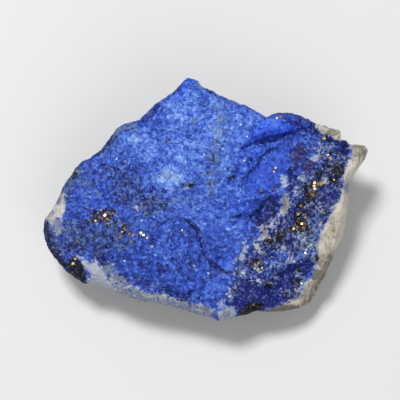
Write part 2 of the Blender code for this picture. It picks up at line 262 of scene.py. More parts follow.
# In millimetres: how far a step drops, how wide its fall is, how far on the low side has come back
# to the skin, and how far the upper side rises at the line.
STEPS = [
    Step([(241.4, 193), (242.3, 186), (243, 178.6), (248.6, 171.4), (257.9, 163), (260.7, 156),
          (265, 151.4), (272, 148.5), (278, 146.4), (288, 144)], 0.3, 0.12, 2.6, 0.14),
    Step([(241, 197), (242, 188), (243, 177), (248, 170), (256.5, 163.5), (259.5, 154), (268, 149),
          (279, 147), (291.5, 144)], -0.5, 0.7, 4.0, 0.0),
    Step([(244, 143.5), (252, 138), (262, 133.5), (272, 131.5), (284, 129),
          (292, 126.5)], 0.12, 0.3, 1.0, 0.1),
    Step([(182, 217), (192, 223), (197, 231), (200, 242), (203, 254), (207, 262), (215, 268),
          (223, 271.5), (232, 272)], -0.4, 0.9, 3.0, 0.0),
    Step([(206, 105), (203, 98), (200, 90), (197, 84)], 0.16, 0.3, 1.2, 0.05),
    Step([(184, 86), (175, 93.5), (166, 100.5), (158, 107.5), (152, 114), (145, 121.5), (138, 127),
          (128, 131.5), (120, 134.5), (113, 141), (106, 151), (100, 160)], 0.5, 0.4, 2.4, 0.1),
    Step([(262, 291), (267, 284), (275, 277), (285, 271), (296, 267), (305, 262),
          (313, 258)], 0.5, 0.5, 1.6, 0.15),
    Step([(341, 140), (331, 136), (322, 131), (314, 124), (308, 118)], 0.7, 0.3, 3.0, 0.1),
    Step([(349, 141), (349, 152), (347, 162), (343.5, 168), (343.5, 180), (343, 190),
          (340, 200)], 0.4, 0.3, 3.5, 0.1),
    Step([(296, 144), (290.5, 151), (289, 158), (290, 164), (284, 172)], 0.3, 0.16, 1.6, 0.08),
    Step([(232, 273), (237, 263), (240, 252), (246, 243), (256, 234)], 0.28, 0.3, 2.0, 0.1),
    Step([(64, 198), (68, 186), (76, 172)], 0.3, 0.3, 1.5, 0.1),
    Step([(214, 308), (200, 302), (178, 297), (156, 291), (138, 285), (124, 276),
          (116, 266)], 0.3, 0.3, 2.5, 0.1),
    Step([(118, 268), (108, 270), (98, 263), (86, 262)], 0.25, 0.3, 1.5, 0.1),
    Step([(229, 217.5), (233, 216.5), (238, 216), (242, 214)], 0.3, 0.14, 0.8, 0.1),
    Step([(246, 218.5), (252, 216), (257, 212), (262, 208), (263, 202), (267, 198),
          (274, 196)], 0.42, 0.16, 1.4, 0.1),
    Step([(150, 188), (162, 192), (172, 190), (182, 196)], 0.22, 0.2, 1.2, 0.05),
    Step([(152, 184), (150, 172), (140, 158), (128, 150)], 0.25, 0.3, 1.5, 0.1),
    Step([(228, 190), (229, 178), (226, 168), (230, 158), (238, 150)], 0.22, 0.2, 1.4, 0.05),
    Step([(186, 136), (190, 134.5), (194, 132), (199, 130)], 0.3, 0.16, 0.9, 0.08),
    Step([(252, 184), (260, 174), (268, 163), (278, 154)], 0.16, 0.2, 1.2, 0.05),
    Step([(256, 190), (266, 178), (276, 168), (284, 160)], 0.14, 0.2, 1.2, 0.05),
    Step([(272, 115), (282, 117.5), (291, 121.5), (300, 127), (308, 131)], 0.45, 0.25, 1.6, 0.12),
    Step([(196, 214), (204, 211), (214, 214), (224, 212)], 0.2, 0.2, 1.2, 0.04),
    Step([(211, 243), (220, 238), (230, 236), (238, 232)], 0.2, 0.16, 1.4, 0.05),
    Step([(150, 250), (160, 256), (168, 266), (172, 278)], 0.2, 0.2, 1.2, 0.05),
    Step([(90, 214), (82, 213.5), (77, 210), (75, 200)], 0.3, 0.2, 1.2, 0.08),
]
CRACKS = [
    Crack([(241.6, 193), (242.3, 186), (243.2, 178.6), (248.8, 171.4), (258, 163.2), (261, 156),
           (265.4, 151.6), (274, 148.4)], 0.28, 0.16),
    Crack([(296.5, 144.5), (291, 151), (289.5, 158), (290.5, 164)], 0.25, 0.18),
    Crack([(246, 219), (252, 216.5), (257, 212.5), (262, 208), (264, 201)], 0.3, 0.2),
    Crack([(184, 221), (188, 221.5), (192, 224), (196, 229), (200, 236), (202, 244), (204, 252),
           (206, 258), (211, 265), (217, 269), (224, 272.5), (232, 272)], 0.6, 0.22),
    Crack([(204, 252), (206, 257), (210, 262), (216, 266), (222, 270)], 0.4, 0.3),
    Crack([(240, 149), (250.5, 144.6), (262, 143.2), (276, 141), (286, 136.6),
           (292, 131.6)], 0.42, 0.2),
    Crack([(228, 218.5), (236, 217), (242, 215)], 0.22, 0.2),
    Crack([(244, 219), (251, 216.5), (257, 213), (262, 208)], 0.4, 0.22),
    Crack([(186, 138), (190, 135.5), (194, 133), (199, 130.5)], 0.35, 0.2),
    Crack([(284, 134), (290, 136), (297, 133), (306, 130)], 0.3, 0.22),
    Crack([(274, 139.5), (282, 137.5), (289, 134)], 0.3, 0.16),
    Crack([(268, 300), (276, 292), (288, 284), (296, 279)], 0.3, 0.35),
    Crack([(268, 279.5), (276, 274), (286, 269), (296, 265), (306, 259)], 0.4, 0.3),
    Crack([(206, 99), (205, 104), (204, 108)], 0.15, 0.3),
]
PITS = [
    Pit(232, 178, 0.55, 0.4), Pit(169, 139, 0.5, 0.3), Pit(178, 129, 0.4, 0.2), Pit(205, 103, 0.5, 0.35),
    Pit(207, 160, 0.35, 0.25), Pit(193, 123, 0.4, 0.2), Pit(217, 108, 0.4, 0.2), Pit(233, 106, 0.4, 0.25),
    Pit(190, 266, 0.5, 0.3), Pit(160, 268, 0.6, 0.3), Pit(172, 261, 0.4, 0.2), Pit(166, 273, 0.4, 0.2),
    Pit(201, 295, 0.4, 0.3), Pit(299, 271, 0.4, 0.3), Pit(297, 280, 0.5, 0.4), Pit(317, 258, 0.5, 0.4),
    Pit(268, 208, 0.9, 0.4), Pit(118, 196, 0.8, 0.3), Pit(134, 178, 0.7, 0.3), Pit(74, 262, 0.7, 0.4),
    Pit(81, 273, 0.9, 0.4), Pit(232, 292, 0.4, 0.3), Pit(288, 296, 0.6, 0.3), Pit(310, 196, 0.8, 0.3),
]

carved = np.zeros(len(places))
for line, drop, fall, run, lip in STEPS:
    gap, passed = from_line(line)
    gap *= PIXEL / MM
    fallen = ease(-0.5 * fall, 0.5 * fall, gap) * np.exp(-np.abs(gap) / run)
    raised = np.where(gap < 0, np.exp(-np.abs(gap) / LIP_RUN), 0)
    carved += (lip * raised - drop * fallen) * fade_at_ends(passed)
for line, crack_depth, half_width in CRACKS:
    gap, passed = from_line(line)
    gap *= PIXEL / MM
    carved -= crack_depth * np.exp(-((gap / half_width) ** 2)) * fade_at_ends(passed)
for x, y, radius, pit_depth in PITS:
    gap = np.hypot(seen[:, 0] - x, seen[:, 1] - y) * PIXEL / MM
    carved -= pit_depth * np.exp(-((gap / radius) ** 2))

places += normals * (carved * shown * MM)[:, None]
write_places(stone.data, places)
seen = seen_at(places)


# Where each kind of rock lies. Blue, white, dark rock and ore grew into each other, so each is a
# zone: a share from 0 to 1 held on the points of the skin. A zone is put together from patches
# (outline, soft edge, share), bands (line, half width, share) and spots, all in pixels.
def inside(outline, soft):
    """1 inside a closed outline in the picture and 0 outside it, over a soft edge in pixels."""
    gap, _ = from_line([*outline, outline[0]])
    within = np.zeros(len(seen), bool)
    for (ax, ay), (bx, by) in zip(outline, [*outline[1:], outline[0]], strict=True):
        crosses = (ay > seen[:, 1]) != (by > seen[:, 1])
        across = ax + (seen[:, 1] - ay) / (by - ay if by != ay else 1) * (bx - ax)
        within ^= crosses & (seen[:, 0] < across)
    return ease(-soft, soft, np.where(within, np.abs(gap), -np.abs(gap)))


def along(line, half_width, share):
    """A soft band along a line in the picture."""
    gap, _ = from_line(line)
    return share * np.exp(-((gap / half_width) ** 2))


def spots(rows):
    """The strongest of several oval spots: middle x and y, reach across and up, and share."""
    total = np.zeros(len(seen))
    for x, y, across, up, share in rows:
        off = ((seen[:, 0] - x) / across) ** 2 + ((seen[:, 1] - y) / up) ** 2
        total = np.maximum(total, share * np.exp(-off))
    return total


def zone(patches, bands, spot_rows):
    """The strongest of a zone's patches, bands and spots at each point of the skin."""
    total = spots(spot_rows)
    for outline, soft, share in patches:
        total = np.maximum(total, share * inside(outline, soft))
    for line, half_width, share in bands:
        total = np.maximum(total, along(line, half_width, share))
    return total


# White calcite. A flank of it closes the stone on the right, a rim below, and veins run between.
# The patch on the left has specks of blue left in it.
CALCITE_FLANK = [
    (349, 139), (351, 150), (350.5, 158), (347.5, 164), (345, 168), (343, 176), (344, 183),
    (343, 190), (340, 200), (336, 204), (332, 211), (329, 218), (324, 227), (320, 235), (317, 243),
    (317, 252), (318, 257), (316, 264), (313, 274), (309, 280), (304, 285), (303, 290), (300, 296),
    (293, 300), (285, 304), (277, 307), (270, 310), (262, 314), (262, 330), (330, 330), (370, 260),
    (395, 200), (395, 130),
]
CALCITE_CORNER = [
    (308, 117), (314, 124), (318, 129), (322, 132.5), (327, 135.5), (334, 138.5), (341, 141),
    (352, 132), (330, 112),
]
CALCITE_RIM = [
    (88, 292), (88, 276), (90, 268), (94, 264), (103, 268), (106, 276), (112, 272.5), (117, 272),
    (122, 276), (127, 281), (135, 284.5), (141, 288.5), (148, 291), (156, 293), (165, 293.5),
    (172, 297), (180, 299), (186, 301), (192, 304), (197, 305.5), (203, 303), (211, 305),
    (213, 309), (213, 340), (88, 340),
]
RIM_END = [(219, 309), (224, 306.5), (234, 307), (236, 316), (236, 330), (219, 330)]
CALCITE_PATCH = [
    (58, 195), (64, 193), (66.5, 200), (66, 208), (63.5, 216), (62.5, 226), (61, 234), (56, 234),
    (53, 227), (48, 221), (44, 219), (46, 205),
]
LAVENDER_NEST = [
    (84, 262), (90, 262.5), (97, 264), (100, 269), (104, 276), (112, 286), (112, 293), (96, 293),
    (90, 284), (89, 274), (85, 268),
]
CALCITE_PATCHES = [
    (CALCITE_FLANK, 6.0, 1.25),
    (CALCITE_CORNER, 1.6, 1.1),
    (CALCITE_RIM, 5.0, 0.85),
    (RIM_END, 3.0, 0.95),
    (LAVENDER_NEST, 5.0, 0.9),
]
CALCITE_BANDS = [
    ([(94, 267), (99, 273), (107, 286)], 6.0, 1.25),
    ([(84, 262), (88, 268)], 4.0, 0.9),
    ([(262, 228), (266, 233), (263, 239)], 4.5, 0.85),
    ([(262, 239), (256, 243), (258, 250)], 4.0, 0.76),
    ([(244, 243), (244, 250), (240, 259)], 4.5, 0.6),
    ([(236, 263), (234, 275), (233, 284)], 5.0, 0.15),
    ([(233, 284), (229, 296), (221, 304), (219, 311)], 4.2, 0.48),
    ([(284.5, 178), (284.5, 184)], 4.5, 0.85),
    ([(286, 199), (285.5, 206), (283, 211)], 5.0, 0.92),
    ([(281, 213), (275, 219), (271, 226)], 3.0, 0.6),
    ([(322, 226), (314, 234), (308, 243)], 7.0, 0.4),
    ([(318, 232), (312, 244), (315, 254)], 6.0, 0.42),
]
CALCITE_SPOTS = [
    (316, 158, 9, 4, 0.7), (318, 148, 6, 8, 0.45), (329, 148, 8, 4, 0.5), (341, 163, 4, 4, 0.6),
    (303, 177, 6, 5, 0.7), (324, 169, 4, 3, 0.7), (325, 181, 5, 4, 0.6), (296, 192, 4, 6, 0.7),
    (320, 209, 5, 5, 0.65), (305, 206, 4, 5, 0.5), (303, 238, 7, 6, 0.58), (300, 234, 3, 4, 0.6),
    (283, 248, 6, 4, 0.75), (293, 258, 7, 5, 0.6), (286, 292, 8, 5, 0.45), (302, 262, 5, 3, 0.5),
    (275, 266, 7, 4, 0.5), (258, 267, 6, 6, 0.65), (259, 280, 5, 3, 0.65), (271, 283, 5, 3, 0.6),
    (276, 278, 4, 3, 0.75), (252, 278, 4, 4, 0.5), (243, 273, 2.5, 2.5, 0.8), (297, 273, 5, 4, 0.6),
    (297, 290, 4, 7, 0.7), (294, 300, 5, 4, 0.75), (136.5, 207.5, 3, 2.5, 1.0),
    (79, 258, 4, 5, 0.8), (89, 279, 3, 6, 0.75), (169.5, 231.5, 3, 2, 0.7), (56, 250, 6, 6, 0.4),
    (113, 264, 4, 2, 0.7), (313, 260, 3, 3, 0.8), (254, 305, 2.5, 2, 0.7), (108, 269, 6, 4, 0.5),
    (305, 249, 4, 4, 0.7), (316, 252, 4, 6, 0.5), (208, 273, 1, 2, 0.9), (194, 266, 2, 2, 0.6),
]
BLUE_IN_PATCH = [(58, 203, 2.4, 2.2, 0.5), (58, 219, 2.6, 2.4, 0.5), (52, 212, 2.2, 2.2, 0.45)]

left_patch = inside(CALCITE_PATCH, 4.5) - spots(BLUE_IN_PATCH)
white = np.maximum(left_patch, zone(CALCITE_PATCHES, CALCITE_BANDS, CALCITE_SPOTS))

# Where the calcite is creamy, and where it is stained brown or grey by what seeped in. Down the
# bottom edge the same stain colours are painted shadow. The nest of lavender white below stays cold
# and clean.
PATCH_TOP = [(44, 190), (70, 190), (70, 218), (44, 222)]
GREY_RIM = [
    (114, 268), (124, 274), (140, 288), (166, 294), (198, 306), (212, 306), (212, 340), (118, 340),
]
CREAM_PATCHES = [
    (CALCITE_FLANK, 4.0, 1.0),
    (CALCITE_CORNER, 2.0, 1.0),
    (PATCH_TOP, 5.0, 0.7),
    (CALCITE_RIM, 3.0, 0.12),
    (RIM_END, 3.0, 0.1),
]
CREAM_SPOTS = [
    (285, 204, 6, 12, 0.9), (264, 231, 7, 8, 0.7), (79, 258, 5, 6, 0.9), (258, 268, 8, 8, 0.7),
    (298, 290, 12, 14, 0.8), (311, 234, 12, 12, 0.75), (260, 280, 6, 4, 0.7), (206, 308, 8, 6, 0.3),
    (271, 283, 5, 4, 0.8), (89, 279, 4, 8, 0.8), (229, 296, 3, 3, 0.5), (296, 192, 4, 6, 0.6),
]
COLD_IN_FLANK = [(346, 187, 6, 9, 0.8)]
STAIN_PATCHES = [(GREY_RIM, 4.0, 0.55)]
STAIN_BANDS = [([(306, 306), (314, 292), (322, 277), (331, 258)], 9.0, 0.8)]
# The wide spot at 280, 309 is painted shadow down the bottom edge
STAIN_AND_SHADOW_SPOTS = [
    (318, 275, 9, 6, 1.8), (298, 293, 12, 9, 0.9), (350, 200, 3, 16, 0.3), (336, 130, 16, 5, 0.85),
    (359, 150, 12, 14, 0.82), (89, 279, 4, 8, 0.3), (57, 199, 12, 8, 0.95), (57, 209, 9, 7, 0.5),
    (48, 214, 8, 6, 0.7), (58, 226, 8, 10, 0.9), (310, 286, 16, 18, 0.6), (322, 262, 10, 14, 0.8),
    (280, 309, 24, 6, 1.5), (326, 240, 6, 14, 0.6), (332, 226, 7, 14, 0.7), (314, 262, 6, 10, 0.6),
    (228, 313, 10, 8, 0.75), (314, 236, 10, 10, 0.95), (330, 132, 14, 8, 0.65),
    (109, 269, 8, 7, 1.5), (284, 204, 6, 12, 0.9), (264, 231, 7, 8, 0.75), (258, 267, 6, 6, 0.5),
    (346, 187, 5, 8, 0.85), (79, 258, 5, 5, 0.3), (56, 250, 6, 6, 0.8), (121, 277, 10, 7, 1.2),
    (206, 308, 9, 6, 1.0), (186, 303, 10, 5, 0.8),
]

cream = zone(CREAM_PATCHES, [], CREAM_SPOTS)
cream = cream * (1 - 0.85 * inside(LAVENDER_NEST, 4.0)) * (1 - spots(COLD_IN_FLANK))
stain_and_shadow = zone(STAIN_PATCHES, STAIN_BANDS, STAIN_AND_SHADOW_SPOTS)
stain_and_shadow = stain_and_shadow * (1 - 0.5 * inside(LAVENDER_NEST, 3.0))

# Dark rock: nearly black blue and violet, with the blue grains lost in it, on the foot on the lower
# right and in patches. The same darkness is painted shade along the edges that turn away from the
# light, on the bevel at the upper left edge, under the step on the hump and in the groove. Over the
# deep band it is partly dark rock and partly painted shade, down the bottom edge it is painted shadow,
# and in the cracks it is dirt and painted shade.
DARK_PATCH = [
    (262, 205), (266, 198), (272, 196), (277, 200), (279, 208), (276, 216), (270, 220), (265, 225),
    (257, 227), (252, 222), (257, 217),
]
# The deep band lies under a step: its darkness is partly dark rock and partly painted shade
DEEP_BAND = [
    (264, 283), (270, 277.5), (277, 273), (286, 268.5), (296, 264.5), (304, 258), (311, 256),
    (314, 262), (311, 269), (303, 267), (296, 271), (288, 275), (281, 280), (273, 285), (266, 291),
    (257, 296), (258, 290),
]
# The bevel at the upper left edge: its darkness and purer blue are partly a dark rim and partly painted
# shade where it turns away from the light
EDGE_BEVEL = [
    (186, 74), (150, 100), (138, 114), (116, 120), (92, 146), (86, 162), (99, 161), (106, 151),
    (113, 141), (120, 134.5), (128, 131.5), (138, 127), (145, 121.5), (152, 114), (158, 107.5),
    (166, 100.5), (175, 93.5), (184, 86),
]
DEEP_ROCK = [
    (242, 282), (254, 287), (262, 286), (270, 278), (284, 269), (304, 259), (314, 262), (306, 272),
    (297, 279), (291, 292), (284, 301), (268, 309), (250, 316), (236, 314), (230, 305), (236, 292),
]
VIOLET_PATCH = [
    (296.5, 144), (303, 143), (307.5, 150), (305, 157), (301, 163), (296, 169), (291.5, 164),
    (289.5, 157), (290.5, 150),
]
NIGHT_PATCHES = [
    (DEEP_BAND, 2.5, 0.75),
    (DARK_PATCH, 7.0, 0.9),
    (VIOLET_PATCH, 5.0, 1.0),
    (EDGE_BEVEL, 1.5, 0.3),
    (DEEP_ROCK, 4.0, 0.75),
]
NIGHT_BANDS = [
    # Painted shade, partly a dark rim, along the edges that turn away from the light
    ([(45, 222), (46, 236), (52, 248), (62, 262), (72, 276)], 5.0, 1.15),
    ([(184, 85), (175, 92.5), (158, 106.5), (145, 120.5), (138, 126), (120, 133.5),
      (106, 150)], 1.5, 0.55),
    ([(146, 119), (158, 107)], 3.5, 0.5),
    ([(97, 153), (104, 147), (110, 140)], 5.0, 0.85),
    ([(60, 196), (66, 184), (75, 169), (82, 161)], 5.0, 0.65),
    ([(264, 118), (276, 113), (290, 113)], 2.5, 0.4),
    # Darker rock down the middle of the face
    ([(220, 106), (222, 118), (219, 132), (218, 146), (213, 160), (209, 180),
      (211, 200)], 5.0, 0.26),
    # Painted shade along the top edge, and under the step on the hump
    ([(280, 112), (294, 113), (306, 119), (314, 126)], 3.0, 0.75),
    ([(282, 117.5), (291, 121.5), (300, 127), (308, 131)], 2.2, 0.6),
    ([(298, 124), (308, 131)], 6.0, 0.65),
    # Dirt and painted shade in the long crack
    ([(182, 218), (188, 222), (195, 228), (200, 238)], 1.6, 0.9),
    ([(200, 238), (202, 250), (207, 260), (215, 267), (224, 271)], 1.5, 0.95),
    # Dark rock on the right, near the calcite
    ([(316, 131), (324, 136), (334, 141), (344, 143)], 4.0, 1.2),
    ([(347, 147), (347, 160)], 3.2, 1.25),
    ([(292, 170), (292, 188)], 4.5, 1.35),
    # Painted shade in the groove
    ([(262, 140), (276, 137), (292, 133)], 2.6, 0.2),
    # Painted shadow down the bottom edge
    ([(238, 314), (262, 310), (290, 306)], 5.0, 1.2),
    # Painted shade along the edge by the apex
    ([(199, 82), (207, 91), (222, 98)], 1.6, 0.45),
    # A dark band above the calcite rim
    ([(124, 273), (150, 285), (176, 293), (200, 299)], 5.5, 0.55),
]
# The spots at 248, 306 and at 278, 306 are painted shadow down the bottom edge
NIGHT_SPOTS = [
    (122, 178, 22, 20, 0.4), (148, 204, 26, 16, 0.34), (128, 196, 22, 16, 0.4),
    (102, 164, 14, 10, 0.4), (94, 178, 18, 12, 0.35), (84, 236, 32, 26, 0.46),
    (110, 240, 14, 9, 0.45), (54, 240, 7, 14, 0.55), (116, 232, 22, 14, 0.36),
    (76, 226, 12, 16, 0.3), (72, 248, 16, 10, 0.55), (62, 262, 12, 8, 0.8), (262, 221, 11, 5, 1.1),
    (308, 166, 8, 7, 0.95), (275, 187, 5, 5, 0.8), (297, 215, 14, 16, 0.5), (252, 228, 6, 6, 0.4),
    (258, 262, 12, 12, 0.5), (247, 294, 13, 12, 1.0), (288, 292, 8, 10, 0.9),
    (248, 306, 10, 8, 1.1), (272, 296, 14, 13, 0.85), (305, 268, 8, 5, 0.9), (292, 284, 8, 9, 0.6),
    (278, 306, 16, 5, 1.0), (240, 265, 9, 10, 0.5), (98, 260, 14, 7, 0.7), (156, 188, 18, 6, 0.45),
    (237, 270, 9, 13, 0.46), (122, 240, 8, 6, 0.35), (333, 174, 8, 12, 0.6),
    (324, 194, 18, 20, 1.2), (294, 133, 8, 4, 0.5), (344, 152, 5, 8, 1.1), (276, 240, 14, 11, 0.8),
    (262, 252, 16, 12, 0.35), (258, 212, 5, 5, 0.5), (232, 178, 3, 3, 0.8), (168, 139, 3, 3, 0.6),
    (188, 186, 9, 4, 0.65), (238, 200, 20, 16, 0.12), (160, 268, 4, 6, 0.6), (190, 267, 2, 6, 0.8),
    (205, 102, 3, 6, 0.45), (228, 170, 5, 8, 0.3), (201, 295, 2, 5, 0.7), (216, 275, 8, 5, 0.35),
    (284, 226, 12, 14, 0.5), (292, 244, 8, 12, 0.5), (300, 128, 10, 4, 0.4), (310, 138, 8, 5, 0.4),
    (232, 292, 3, 3, 0.8), (237, 288, 8, 10, 0.7), (243, 312, 9, 5, 1.2),
]
VIOLET_PATCHES = [
    (VIOLET_PATCH, 6.0, 0.8),
    (DARK_PATCH, 5.0, 0.3),
]
VIOLET_SPOTS = [
    (308, 167, 9, 8, 0.8), (246, 294, 18, 14, 0.35), (250, 226, 8, 8, 0.8), (275, 187, 6, 6, 0.8),
    (176, 262, 20, 16, 0.3), (196, 292, 20, 10, 0.2), (190, 267, 3, 7, 0.9), (220, 276, 10, 8, 0.7),
    (230, 284, 5, 10, 0.5), (212, 172, 6, 20, 0.4), (218, 186, 6, 8, 0.5), (320, 194, 16, 16, 0.3),
    (294, 133, 8, 4, 0.6), (182, 240, 5, 5, 0.4),
]
# Dirt and painted shade in the cracks: the deeper the crack, the darker
CRACK_DARK_WIDTH = 1.1
CRACK_DARKNESS = 0.35
DARKER_BY_DEPTH = 0.9

night = zone(NIGHT_PATCHES, NIGHT_BANDS, NIGHT_SPOTS)
for line, crack_depth, _ in CRACKS:
    darkness = CRACK_DARKNESS + DARKER_BY_DEPTH * crack_depth
    night = np.maximum(night, along(line, CRACK_DARK_WIDTH, darkness))
violet = zone(VIOLET_PATCHES, [], VIOLET_SPOTS)

# Salt and pepper rock, where white, blue and dark grains lie side by side. It covers the right
# third of the face, but less of the deep rock there and hardly any of a few plain spots.
MIXED_ROCK = [
    (314, 141), (332, 143), (350, 160), (350, 192), (342, 206), (336, 220), (326, 238), (322, 256),
    (314, 272), (300, 280), (300, 300), (280, 312), (256, 314), (236, 310), (226, 302), (236, 284),
    (238, 268), (246, 252), (256, 238), (260, 224), (272, 214), (281, 200), (290, 188), (298, 174),
    (310, 156),
]
PLAIN_IN_MIXED = [
    (292, 179, 6, 11, 0.9), (308, 166, 9, 8, 0.7), (270, 210, 11, 11, 0.45), (298, 152, 9, 11, 0.7),
    (332, 196, 10, 10, 0.5),
]
MIXED_PATCHES = [(CALCITE_RIM, 3.0, 0.8)]
MIXED_SPOTS = [
    (124, 180, 24, 20, 0.5), (148, 202, 26, 16, 0.55), (120, 198, 26, 18, 0.45),
    (108, 216, 20, 14, 0.5), (110, 240, 26, 16, 0.45), (84, 240, 16, 14, 0.4),
    (290, 290, 10, 12, 0.8), (216, 170, 8, 24, 0.25), (58, 244, 10, 16, 0.4), (106, 267, 8, 8, 0.9),
]

mottled = inside(MIXED_ROCK, 5.0) * (1 - 0.7 * inside(DEEP_ROCK, 5.0)) * (1 - spots(PLAIN_IN_MIXED))
mixed = np.maximum(mottled, zone(MIXED_PATCHES, [], MIXED_SPOTS))

# The blue's own tones, with painted light and shade laid into them. It is paler over the upper face,
# on the strip above the groove, along the top right edge and on the ridge over the deep band, partly
# its own tone and partly painted light. It is deeper in the groove, along the upper left edges, under
# the step on the hump, in the deep band and over the lower face, partly its own tone and partly
# painted shade. It is dulled where grey rock shows through, and purest on the clean plates and in the
# painted shade of the groove, the bevel, the apex and the deep band.
PALE_AND_LIT_BANDS = [
    ([(194, 94), (194, 104), (190, 118)], 13.0, 0.8),
    ([(256, 124), (268, 123), (284, 128)], 4.5, 0.6),
    ([(226, 101), (250, 111), (262, 117)], 4.0, 0.45),
]
PALE_AND_LIT_SPOTS = [
    (180, 156, 34, 30, 0.7), (172, 178, 19, 13, 1.75), (150, 152, 16, 14, 0.8),
    (132, 138, 14, 10, 1.0), (188, 112, 28, 24, 0.98), (214, 128, 10, 30, 0.95),
    (202, 120, 11, 8, 1.15), (122, 152, 10, 13, 0.5), (236, 124, 26, 20, 0.7),
    (212, 176, 16, 26, 0.35), (276, 119, 16, 3, 0.5), (215, 109, 9, 7, 0.7), (192, 94, 8, 8, 0.5),
    (170, 114, 12, 8, 0.4), (86, 202, 12, 9, 0.3), (258, 176, 10, 18, 0.3),
    (230, 160, 16, 20, 0.72), (238, 192, 13, 16, 0.5), (254, 147, 9, 7, 0.5),
    (238, 228, 12, 12, 0.45), (210, 285, 16, 14, 0.4), (228, 267, 5, 4, 0.9), (98, 168, 8, 5, 0.3),
    (200, 210, 26, 18, 0.4), (180, 262, 20, 16, 0.25), (196, 205, 14, 12, 0.4),
    (286, 257, 18, 6, 0.5), (274, 266, 10, 5, 0.9), (96, 240, 8, 6, 0.4),
]
DEEP_AND_SHADED_PATCHES = [(DEEP_BAND, 3.0, 0.6)]
# Painted shade in the groove, along the upper left edges by the apex and under the step on the hump
DEEP_AND_SHADED_BANDS = [
    ([(258, 140), (276, 136.5), (294, 132)], 3.8, 0.75),
    ([(186, 79), (180, 86), (172, 93)], 3.0, 0.5),
    ([(144, 121), (158, 107)], 3.0, 0.5),
    ([(282, 118), (291, 122), (300, 127), (308, 131)], 2.6, 0.6),
]
# The two widest spots, at 140, 230 and at 190, 286, are painted shade over the lower face
DEEP_AND_SHADED_SPOTS = [
    (246, 205, 16, 8, 0.35), (236, 168, 6, 16, 0.3), (95, 180, 14, 12, 0.4), (214, 258, 8, 12, 0.2),
    (285, 240, 24, 16, 0.2), (66, 246, 14, 14, 0.4), (250, 296, 14, 10, 0.3),
    (140, 232, 60, 40, 0.12), (190, 286, 60, 22, 0.22), (262, 250, 26, 20, 0.15),
]
GREY_BANDS = [
    ([(220, 106), (222, 118), (219, 132), (218, 146)], 6.5, 0.7),
    ([(212, 150), (214, 164), (209, 178), (211, 190)], 7.0, 0.76),
    ([(114, 131), (122, 127.5), (133, 126)], 5.0, 0.95),
    ([(100, 152), (104, 147), (114, 136)], 5.0, 1.2),
    ([(62, 195), (68, 184), (77, 170)], 6.0, 1.0),
    ([(50, 228), (54, 244), (62, 256)], 6.0, 0.8),
]
GREY_SPOTS = [
    (168, 176, 12, 8, 0.7), (124, 184, 26, 22, 0.58), (106, 238, 30, 20, 0.78),
    (150, 205, 24, 14, 0.8), (92, 184, 24, 24, 0.55), (76, 238, 26, 24, 0.8),
    (136, 138, 10, 6, 0.4), (86, 236, 16, 12, 0.5), (182, 200, 14, 10, 0.4), (186, 186, 8, 4, 0.8),
    (56, 250, 8, 8, 0.8), (320, 152, 14, 12, 0.5), (214, 108, 6, 4, 0.7), (194, 122, 4, 4, 0.6),
    (168, 140, 5, 4, 0.6), (222, 116, 4, 6, 0.9), (218, 132, 4, 5, 0.8), (212, 158, 4, 6, 0.9),
    (208, 175, 4, 5, 0.95), (213, 186, 4, 4, 0.8), (236, 268, 5, 12, 0.7), (306, 240, 12, 14, 1.5),
    (292, 258, 10, 6, 0.5), (297, 283, 12, 9, 1.4), (108, 268, 9, 7, 1.4), (190, 210, 10, 10, 0.3),
    (214, 188, 6, 8, 0.5), (256, 243, 6, 8, 0.6),
]
BRIGHT_PLATE = [
    (244, 192), (246, 176), (258, 166), (266, 153), (290, 146), (288, 166), (276, 184), (262, 194),
]
GROOVE = [(246, 146), (250, 134), (262, 119), (284, 119), (308, 131), (288, 138), (262, 143)]
PURE_PATCHES = [
    (BRIGHT_PLATE, 5.0, 0.45),
    (GROOVE, 4.0, 1.05),
    (DEEP_BAND, 3.0, 0.7),
    (DEEP_ROCK, 5.0, 0.4),
    (EDGE_BEVEL, 3.0, 0.4),
]
PURE_BANDS = [([(188, 78), (184, 87), (176, 95)], 5.0, 0.9)]
PURE_SPOTS = [
    (254, 150, 12, 12, 0.7), (244, 204, 16, 14, 0.6), (276, 258, 24, 10, 0.6),
    (196, 288, 12, 8, 0.4), (94, 190, 19, 17, 0.65), (130, 176, 10, 12, 0.45),
    (240, 262, 8, 14, 0.5), (328, 190, 12, 18, 0.5), (296, 198, 8, 26, 0.75),
    (250, 168, 14, 16, 0.5), (226, 262, 10, 8, 0.5), (292, 114, 14, 5, 0.6),
]

pale = zone([], PALE_AND_LIT_BANDS, PALE_AND_LIT_SPOTS) - zone(DEEP_AND_SHADED_PATCHES, DEEP_AND_SHADED_BANDS, DEEP_AND_SHADED_SPOTS)
grey = zone([], GREY_BANDS, GREY_SPOTS)
pure = zone(PURE_PATCHES, PURE_BANDS, PURE_SPOTS)

